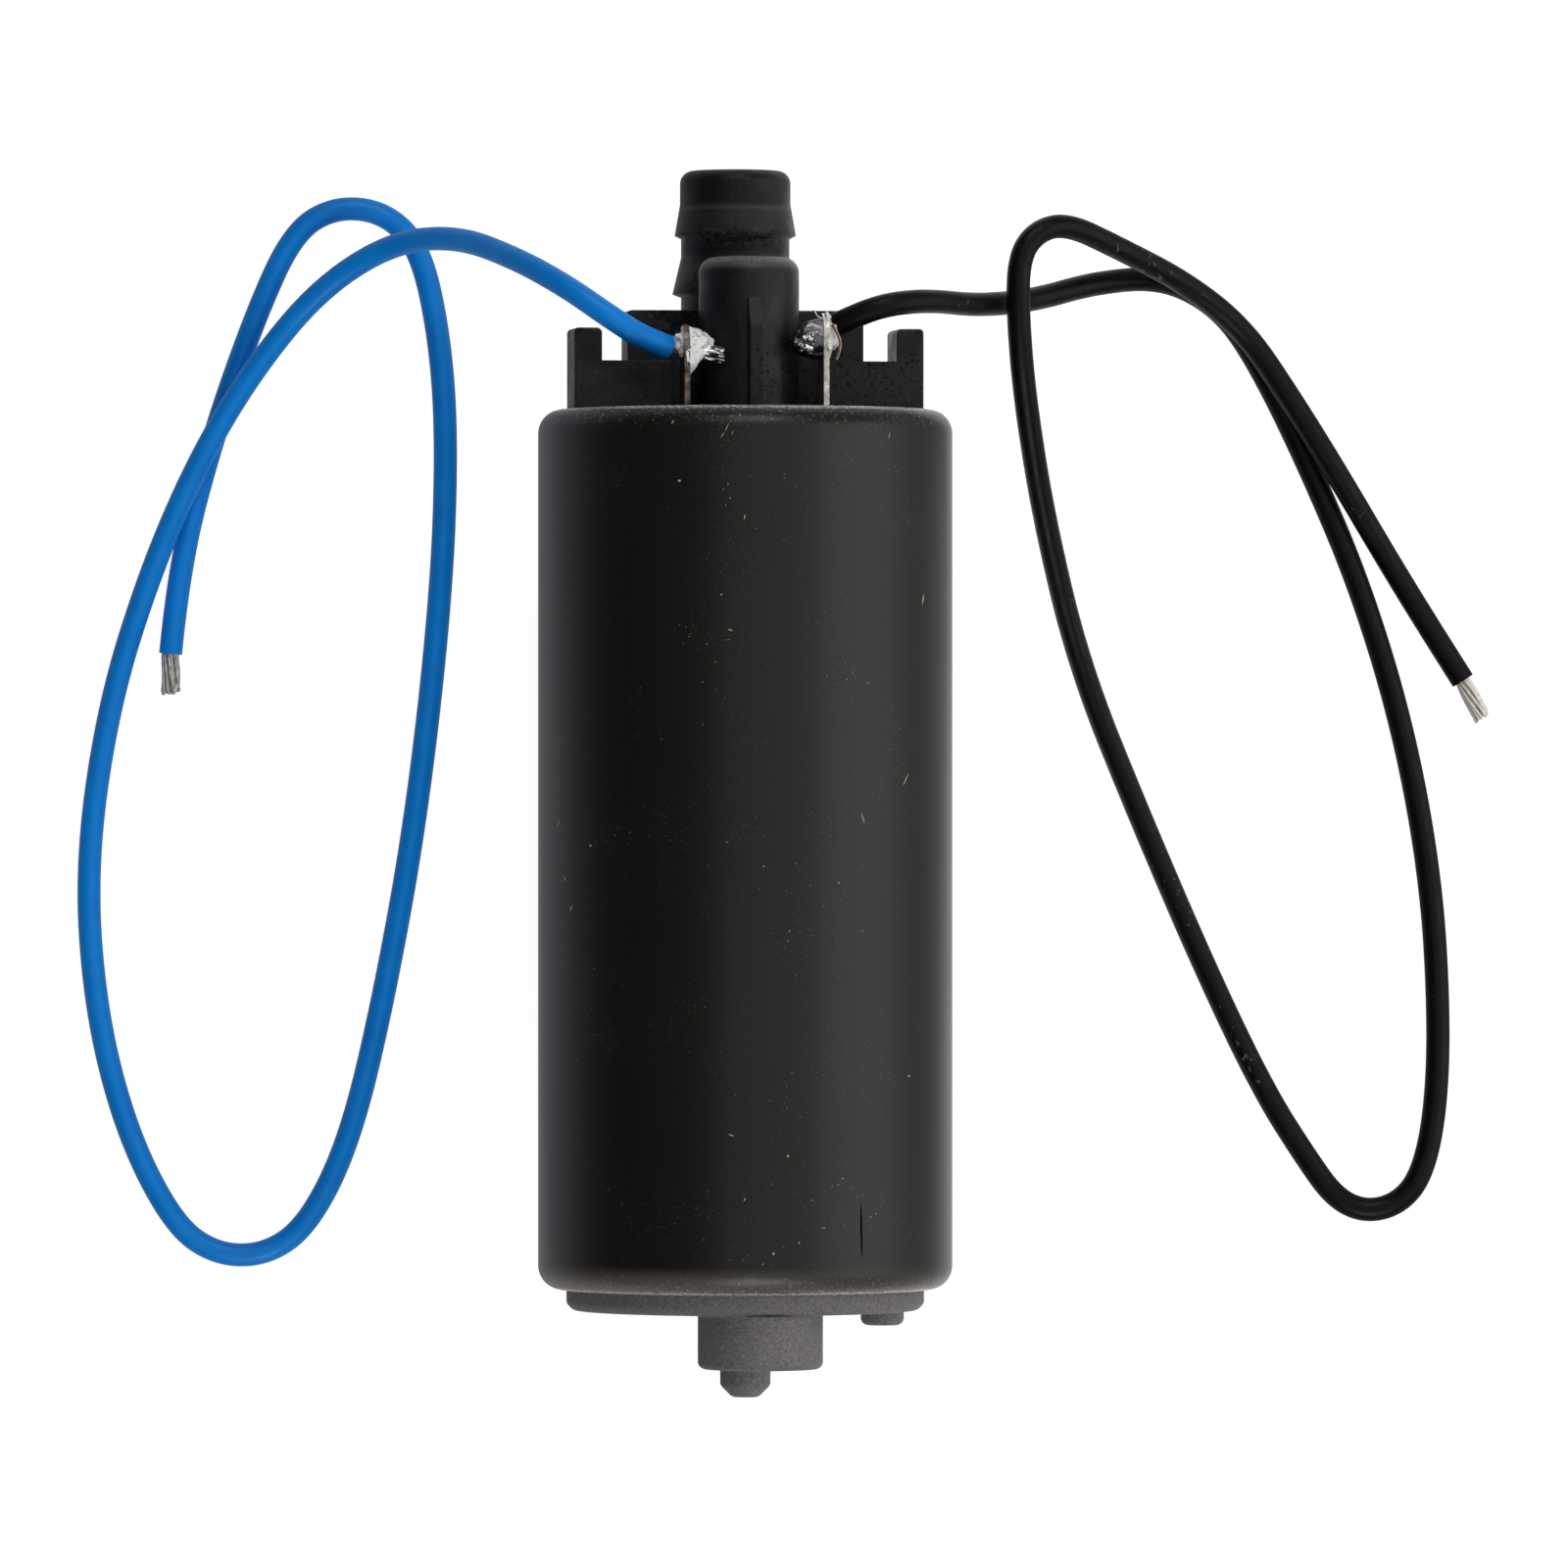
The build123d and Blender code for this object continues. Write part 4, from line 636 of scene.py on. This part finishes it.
def bundle(name, stations, thickness, count):
    """A bundle of strands. Each station is a middle, a bundle radius, a turn in degrees and a squash."""
    way = (stations[-1][0] - stations[0][0]).normalized()
    side = way.cross(Vector((0, 0, 1))).normalized()
    up = side.cross(way).normalized()
    lines = []
    for number, (across, rise) in enumerate(strand_places(count)):
        line = []
        for station, (middle, radius, turn, squash) in enumerate(stations):
            angle = radians(turn)
            right = across * cos(angle) - rise * sin(angle)
            above = (across * sin(angle) + rise * cos(angle)) * squash
            # The strands stray from each other, and end at uneven lengths
            stray = noise.noise(Vector((number * 3.7, station * 1.9, len(name)))) * radius * 0.35
            last = station == len(stations) - 1
            longer = noise.noise(Vector((number * 1.3, 5.0, 0.5))) * thickness * 1.6 if last else 0
            place = middle + side * (right * radius + stray * (station > 0)) + up * above * radius
            line.append(place + way * longer)
        lines.append(line)
    return wires(name, lines, thickness, roundness=2, smoothness=6)


def solder_drop(name, middle, toward, half_width, half_height, rise, lean, taper, lumps, seed, blunt):
    """A flowed drop of solder: a lumpy dome on a blade, in millimetres of the upright pump.

    It leans up or down as it rises. A taper thins it towards its lower end. Less than 1 blunts it."""
    drop = bmesh.new()
    bmesh.ops.create_uvsphere(drop, u_segments=56, v_segments=36, radius=1.0)
    for vertex in drop.verts:
        up, side, out = vertex.co
        out = max(out, -0.15)
        flat = abs(side) ** 0.7 * (1 if side > 0 else -1)
        narrow = 1 - 0.4 * blunt ** 2 * max(out, 0) ** 1.4
        out = out ** blunt if out > 0 else out
        lump = 1 + lumps * noise.noise(vertex.co * 1.7 + Vector((seed, 0, 0)))
        lump += 0.5 * lumps * noise.noise(vertex.co * 4.5 + Vector((0, seed, 0)))
        thin = 1 - taper * (1 - up) / 2
        vertex.co = lying(middle[0] + toward * out * rise * thin * lump,
                          middle[1] + flat * half_width * narrow * lump,
                          middle[2] + up * half_height * narrow * lump + lean * max(out, 0))
    mesh = bpy.data.meshes.new(name)
    bmesh.ops.recalc_face_normals(drop, faces=drop.faces)
    drop.to_mesh(mesh)
    drop.free()
    for face in mesh.polygons:
        face.use_smooth = True
    return bpy.data.objects.new(name, mesh)


def coil(name, node, radius, wire, turns, closed, strands=1):
    """Round wire wound where a CAD node stands: radius and wire in millimetres, so many turns.

    Its ends are closed by a number of turns that lie on each other. Several strands twist together."""
    low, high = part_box(node)
    middle = (low + high) / 2
    radius, wire = radius * MM, wire * MM
    bottom, top = low.y + wire / 2, high.y - wire / 2
    touching = wire * 1.02
    spread = (top - bottom - 2 * closed * touching) / (turns - 2 * closed)
    steps, sides = int(turns * 28), 10
    points, faces = [], []
    for strand in range(strands):
        first = len(points)
        for step in range(steps + 1):
            turn = turns * step / steps
            if turn < closed:
                height, rise = bottom + turn * touching, touching
            elif turn > turns - closed:
                height, rise = top - (turns - turn) * touching, touching
            else:
                height, rise = bottom + closed * touching + (turn - closed) * spread, spread
            angle = 2 * pi * (turn + strand / strands)
            outward = Vector((cos(angle), 0, sin(angle)))
            length = 2 * pi * radius
            along = Vector((-sin(angle) * length, rise, cos(angle) * length)).normalized()
            across = along.cross(outward)
            centre = Vector((middle.x, height, middle.z)) + outward * radius
            for side in range(sides):
                spoke = 2 * pi * side / sides
                points.append(centre + (outward * cos(spoke) + across * sin(spoke)) * wire / 2)
        for step in range(steps):
            ring = first + step * sides
            for side in range(sides):
                beside = (side + 1) % sides
                faces.append((ring + side, ring + beside, ring + sides + beside, ring + sides + side))
        last = first + steps * sides
        faces.append(tuple(range(first + sides - 1, first - 1, -1)))
        faces.append(tuple(range(last, last + sides)))
    mesh = bpy.data.meshes.new(name)
    mesh.from_pydata(points, [], faces)
    for face in mesh.polygons:
        face.use_smooth = len(face.vertices) == 4
    return bpy.data.objects.new(name, mesh)


def shorten(piece, node):
    """Hides the node that a piece stands for and gives the piece a mesh of its own."""
    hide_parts(node)
    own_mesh(piece)


class PumpStage(bpy.types.PropertyGroup):
    """The camera, the floor and the light."""
    distance: FloatProperty(name="Camera distance", description="Height of the camera over the floor",
                            default=1.244, min=0.2, unit="LENGTH")
    lens: FloatProperty(name="Lens", description="Focal length in millimetres", default=306.8,
                        min=10, subtype="DISTANCE_CAMERA")
    key: FloatProperty(name="Key light", description="Power of the large lamp on the right",
                       default=4.6, min=0, unit="POWER")
    fill: FloatProperty(name="Fill light", description="Power of the lamps in front and behind",
                        default=5.5, min=0, unit="POWER")
    floor: StringProperty(name="Floor", description="Colour of the floor, as sRGB hex",
                          default="#FFFFFF")


class PumpCan(bpy.types.PropertyGroup):
    """The coating of the can."""
    coating: StringProperty(name="Coating", description="Colour of the coating, as sRGB hex",
                            default="#0C0D08")
    coating_pale: StringProperty(name="Thin coating", description="Its colour where the film is thin",
                                 default="#14150F")
    worn: StringProperty(name="Worn", description="Colour of bare and dusty spots", default="#CFCCC4")
    coating_roughness: FloatProperty(name="Roughness", description="Roughness of the coating",
                                     default=0.4, min=0, max=1, subtype="FACTOR")


class PumpCovers(bpy.types.PropertyGroup):
    """The castings and mouldings at the two ends."""
    casting: StringProperty(name="Casting", description="Colour of the casting's crests",
                            default="#7F7D7B")
    casting_dark: StringProperty(name="Casting hollows", description="Colour between its grains",
                                 default="#4D4B4A")
    moulding: StringProperty(name="Moulding", description="Colour of the black moulding",
                             default="#09090A")
    moulding_pale: StringProperty(name="Moulding, pale", description="Colour of its flow marks",
                                  default="#111113")
    edge: FloatProperty(name="Edge", description="Rounding of the moulding's edges",
                        default=0.0004, min=0, unit="LENGTH")


class PumpLeads(bpy.types.PropertyGroup):
    """The leads with their bare ends."""
    diameter: FloatProperty(name="Diameter", description="Over the insulation", default=0.0022,
                            min=0.0005, unit="LENGTH")
    strand: FloatProperty(name="Strand", description="Diameter of one strand", default=0.00029,
                          min=0.00005, unit="LENGTH")
    strands: IntProperty(name="Strands", description="Strands in a lead", default=19, min=1, max=19)
    blue: StringProperty(name="Blue", description="Colour of the blue lead", default="#008BEA")
    black: StringProperty(name="Black", description="Colour of the black lead", default="#060606")


class PumpSprings(bpy.types.PropertyGroup):
    """The springs and the brushes' braids."""
    brush_turns: FloatProperty(name="Brush spring turns", description="Turns, with the closed ones",
                               default=6.5, min=3, max=12)
    valve_turns: FloatProperty(name="Valve spring turns", description="Turns, with the closed ones",
                               default=6.0, min=3, max=12)
    braid_twist: FloatProperty(name="Braid twist", description="Turns of a strand over the braid",
                               default=2.5, min=0.5, max=8)


class PUMP_OT_stage(bpy.types.Operator):
    """Sets the camera over the pump, the floor under it and the studio's lamps round it"""
    bl_idname = "pump.stage"
    bl_label = "Stage"

    def execute(self, context):
        look = context.scene.pump_stage
        context.scene.view_settings.view_transform = "Standard"
        context.scene.world = studio_sky()
        view = bpy.data.cameras.new("camera")
        view.lens = look.lens
        view.sensor_width = 36.0
        camera = bpy.data.objects.new("camera", view)
        camera.location = (VIEW_X * MM, 0.0, look.distance)
        context.scene.collection.objects.link(camera)
        context.scene.camera = camera

        half = 3.0
        corners = [(-half, -half, 0), (half, -half, 0), (half, half, 0), (-half, half, 0)]
        sheet = bpy.data.meshes.new("floor")
        sheet.from_pydata(corners, [], [(0, 1, 2, 3)])
        sheet.materials.append(paper_floor(look.floor))
        floor = bpy.data.objects.new("floor", sheet)
        context.scene.collection.objects.link(floor)

        # Each lamp looks at the pump from its place, in metres
        for name, place, size, power, colour in (
                ("key", (0.8, 0.05, 0.36), 0.9, look.key, (1.0, 0.995, 0.99)),
                ("overhead", (0.2, 0.0, 1.2), 1.0, look.fill * 0.4, (1.0, 1.0, 1.0)),
                ("left", (-0.85, 0.0, 0.8), 0.5, look.fill * 0.012, (0.85, 0.92, 1.0)),
                ("front", (0.1, -0.95, 0.8), 0.5, look.fill, (1.0, 0.99, 0.98)),
                ("back", (0.1, 0.95, 0.8), 0.5, look.fill * 0.8, (1.0, 1.0, 1.0))):
            lamp = bpy.data.lights.new(name, "AREA")
            lamp.energy = power
            lamp.size = size
            lamp.color = colour
            light = bpy.data.objects.new(name, lamp)
            light.location = place
            light.rotation_euler = (-Vector(place)).to_track_quat("-Z", "Y").to_euler()
            context.scene.collection.objects.link(light)
        return {"FINISHED"}


class PUMP_OT_leads(bpy.types.Operator):
    """Lays the blue and the black lead on their routes, with their stripped far ends"""
    bl_idname = "pump.leads"
    bl_label = "Leads"

    def execute(self, context):
        look = context.scene.pump_leads
        copper = tinned_copper("copper_drawn_tinned", "#AAA59D", "#F0ECE5", 0.65)
        blue = extruded_pvc("pvc_extruded_blue", look.blue, "#007DD8", 0.4, 0.22, 0.1)
        black = extruded_pvc("pvc_extruded_black", look.black, "#080808", 0.42, 0.15, 0.2)
        bright = tinned_copper("copper_drawn_tinned_bright", "#CFC9BE", "#F4F0E8", 0.4)
        # A lead thicker than its solid still lies on the floor
        lift = look.diameter / 2 - LEAD_RADIUS * MM
        radius = 0.78 * MM
        for colour, route, end, cover, metal, length, flare in (
                ("blue", BLUE_ROUTE, BLUE_END, blue, copper, 0.299, 1.2),
                ("black", BLACK_ROUTE, BLACK_END, black, bright, 0.302, 1.0)):
            line = [(x * MM, y * MM, z * MM + lift) for x, y, z in route]
            cable = wires(colour + "_lead_insulation", [line], look.diameter, roundness=6, smoothness=12)
            lead = put(cable, cover)
            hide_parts(colour + "_lead")
            start, stop = (Vector(place) * MM + Vector((0, 0, lift)) for place in (route[-1], end))
            stations = [(start + (start - stop) * 0.25, radius * 0.9, 0, 1.0),
                        (start, radius * 0.95, 20, 1.0),
                        (start.lerp(stop, 0.5), radius * 1.1, 45, 0.95),
                        (stop, radius * flare, 70, 0.8)]
            ends = put(bundle(colour + "_lead_bare_end", stations, look.strand, look.strands),
                       metal)
            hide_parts(colour + "_lead_strands")
        return {"FINISHED"}


class PUMP_OT_can(bpy.types.Operator):
    """Coats the drawn can and wears its rolled ends"""
    bl_idname = "pump.can"
    bl_label = "Can"

    def execute(self, context):
        dress(coated_steel(), "can")
        return {"FINISHED"}


class PUMP_OT_covers(bpy.types.Operator):
    """Finishes the inlet casting and the outlet moulding, with their edges softened"""
    bl_idname = "pump.covers"
    bl_label = "Covers"

    def execute(self, context):
        look = context.scene.pump_covers
        dress(cast_alloy(), "inlet_cover")
        soften("inlet_cover", 0.25)
        dress(filled_nylon(), "outlet_cover", "check_valve_poppet")
        soften("outlet_cover", look.edge / MM, on_walls)
        return {"FINISHED"}


class PUMP_OT_terminals(bpy.types.Operator):
    """Tins the blades and solders the conductors into their eyes"""
    bl_idname = "pump.terminals"
    bl_label = "Terminals"

    def execute(self, context):
        look = context.scene.pump_leads
        copper = tinned_copper("copper_tail_tinned", "#8E8880", "#D8D3CB", 1.0)
        frosted = solder_metal("solder_frosted", "#F2F1F1", 0.45, 0.65, 0.25, 0.6)
        bright = solder_metal("solder_bright", "#E2E1E2", 0.12, 0.35, 1.0, 0.58)
        # The right ball's solder is painted dark: a painted reflection of the dim surroundings that the
        # shiny ball mirrors
        dark = solder_metal("solder_painted_dark_reflection", "#6C6B6E", 0.2, 0.45, 1.0, 0.62)
        dress(tinned_brass("brass_tinned_browned", "#3A3128", "#91887B"), "terminal_left")
        dress(tinned_brass("brass_tinned", "#A39C90", "#EFEBE3"), "terminal_right")
        # Each drop's middle, way, half width, half height, rise, lean, taper, lumps, seed and bluntness
        inner, outer = BLADE_X - 0.2, BLADE_X + 0.2
        for name, metal, middle, *shape in (
                ("solder_fan_left", frosted, (-inner, BLADE_Y - 0.2, EYE_LEFT - 1.2),
                 1, 1.6, 2.85, 3.5, 0.3, 1.0, 0.2, 3.1, 1.0),
                ("solder_sleeve_left", bright, (-inner, BLADE_Y - 0.15, EYE_LEFT - 0.2),
                 1, 0.95, 0.92, 3.0, -0.9, 0.0, 0.3, 6.4, 0.5),
                # The ball's dark solder is a painted dark reflection
                ("solder_ball_right", dark, (inner, BLADE_Y - 0.2, EYE_RIGHT - 0.6),
                 -1, 1.45, 1.8, 2.9, -0.1, 0.0, 0.12, 8.4, 0.6),
                ("solder_tip_right", bright, (inner - 1.2, BLADE_Y - 1.3, EYE_RIGHT - 0.85),
                 -1, 0.7, 0.8, 1.0, -0.3, 0.0, 0.6, 5.3, 0.7),
                ("solder_collar_left", frosted, (-outer, BLADE_Y, EYE_LEFT),
                 -1, 0.95, 1.0, 0.95, 0.1, 0.0, 0.3, 5.2, 0.6),
                ("solder_collar_right", frosted, (outer, BLADE_Y - 0.2, EYE_RIGHT - 0.5),
                 1, 1.5, 1.95, 1.1, 0.3, 0.0, 0.5, 1.7, 1.0)):
            put(solder_drop(name, middle, *shape), metal)
        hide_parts("solder_left")
        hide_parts("solder_right")
        radius = 0.6 * MM
        for name, blade, eye, route, tip, colour in (
                ("left", -BLADE_X, EYE_LEFT, BLUE_ROUTE, (-2.9, -6.2, 85.3), "blue"),
                ("right", BLADE_X, EYE_RIGHT, BLACK_ROUTE, (3.7, -7.3, 86.2), "black")):
            start, out = Vector(route[0]) * MM, Vector(route[1]) * MM
            middle, end = lying(blade, BLADE_Y, eye), lying(*tip)
            stations = [(start.lerp(out, 0.25), radius, 0, 1.0), (start, radius * 1.05, 15, 1.0),
                        (middle, radius * 0.95, 40, 1.0), (middle.lerp(end, 0.55), radius, 70, 1.0),
                        (end, radius * 1.25, 95, 0.9)]
            tail = put(bundle(name + "_tail_strands", stations, look.strand, look.strands), copper)
            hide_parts(colour + "_lead_tail")
        # Two loose strands at the right blade, through points of the upright pump
        for name, points, thickness, metal in (
                ("stray_strand_outer", [(6.9, -8.0, 88.2), (7.5, -8.0, 87.3), (7.75, -7.9, 86.0),
                                        (7.3, -7.8, 85.0)], 0.28, untinned_copper()),
                ("stray_strand_top", [(5.2, -7.9, 89.5), (5.4, -7.9, 89.1), (5.7, -7.9, 88.8),
                                      (6.1, -7.8, 88.7)], 0.18, copper)):
            line = [lying(*point) for point in points]
            put(wires(name, [line], thickness * MM, roundness=3, smoothness=12), metal)
        return {"FINISHED"}


class PUMP_OT_motor(bpy.types.Operator):
    """Finishes the armature, commutator, magnets, brushes, bearings and pump stage"""
    bl_idname = "pump.motor"
    bl_label = "Motor and pump stage"

    def execute(self, context):
        dress(ferrite(), "magnet_left", "magnet_right")
        dress(carbon(), "commutator", "brush_left", "brush_right")
        dress(enamelled_copper(), "armature_windings")
        dress(stacked_steel(), "lamination_stack")
        dress(ground_steel(), "shaft", "thrust_button", "lower_washer", "upper_washer", "relief_ball")
        dress(spring_wire(), "magnet_clip_back", "magnet_clip_front")
        dress(sintered_bronze(), "lower_bearing", "upper_bearing", "relief_plug")
        dress(cast_aluminium(), "pump_casing")
        dress(moulded_resin("phenolic_moulded", "#3B2E24", "#49392D"), "impeller")
        dress(moulded_resin("acetal_moulded", "#B7AE97", "#C7BFA9"), "lower_insulator",
              "upper_insulator", "commutator_hub", "check_valve_guide")
        dress(nitrile_rubber(), "cover_seal", "check_valve_seal")
        return {"FINISHED"}


class PUMP_OT_springs(bpy.types.Operator):
    """Winds the four springs and twists the two braids, in place of their nodes"""
    bl_idname = "pump.springs"
    bl_label = "Springs and braids"

    def execute(self, context):
        look = context.scene.pump_springs
        steel = spring_wire()
        copper = braided_copper()
        for node, radius, wire, turns, joint, travel in (
                ("brush_spring_left", 1.6, 0.35, look.brush_turns, "brush_left_slide", BRUSH_TRAVEL),
                ("brush_spring_right", 1.6, 0.35, look.brush_turns, "brush_right_slide", BRUSH_TRAVEL),
                ("check_valve_spring", 2.0, 0.35, look.valve_turns, "check_valve_slide", 2.5),
                ("relief_spring", 1.6, 0.4, look.valve_turns, "relief_valve_slide", 1.5)):
            wound = put(coil(node + "_wire", node, radius, wire, turns, closed=1.0), steel)
            shorten(wound, node)
        for side in ("left", "right"):
            node = "brush_shunt_" + side
            low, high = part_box(node)
            reach = (high.x - low.x) / 2 / MM
            braid = put(coil(node + "_braid", node, reach * 0.58, reach * 0.8, look.braid_twist,
                             closed=0.0, strands=5), copper)
            shorten(braid, node)
        return {"FINISHED"}


class PUMP_PT_panel(bpy.types.Panel):
    """The fuel pump's pieces and finishes"""
    bl_idname = "PUMP_PT_panel"
    bl_label = "Fuel pump"
    bl_space_type = "VIEW_3D"
    bl_region_type = "UI"
    bl_category = "Fuel pump"

    def draw(self, context):
        for kind in OPERATORS:
            self.layout.operator(kind.bl_idname)
        for name, group in GROUPS.items():
            box = self.layout.box()
            for setting in group.__annotations__:
                box.prop(getattr(context.scene, name), setting)


GROUPS = {"pump_stage": PumpStage, "pump_can": PumpCan, "pump_covers": PumpCovers,
          "pump_leads": PumpLeads, "pump_springs": PumpSprings}
OPERATORS = (PUMP_OT_stage, PUMP_OT_leads, PUMP_OT_can, PUMP_OT_covers, PUMP_OT_terminals,
             PUMP_OT_motor, PUMP_OT_springs)


def register():
    """Registers the settings, the operators and the panel."""
    for kind in (*GROUPS.values(), *OPERATORS, PUMP_PT_panel):
        bpy.utils.register_class(kind)
    for name, group in GROUPS.items():
        setattr(bpy.types.Scene, name, PointerProperty(type=group))


def unregister():
    """Takes them out again."""
    for name in GROUPS:
        delattr(bpy.types.Scene, name)
    for kind in (PUMP_PT_panel, *reversed(OPERATORS), *reversed(list(GROUPS.values()))):
        bpy.utils.unregister_class(kind)


def main():
    """Dresses the pump."""
    register()
    bpy.ops.pump.stage()
    bpy.ops.pump.leads()
    bpy.ops.pump.can()
    bpy.ops.pump.covers()
    bpy.ops.pump.terminals()
    bpy.ops.pump.motor()
    bpy.ops.pump.springs()


if __name__ == "__main__":
    main()
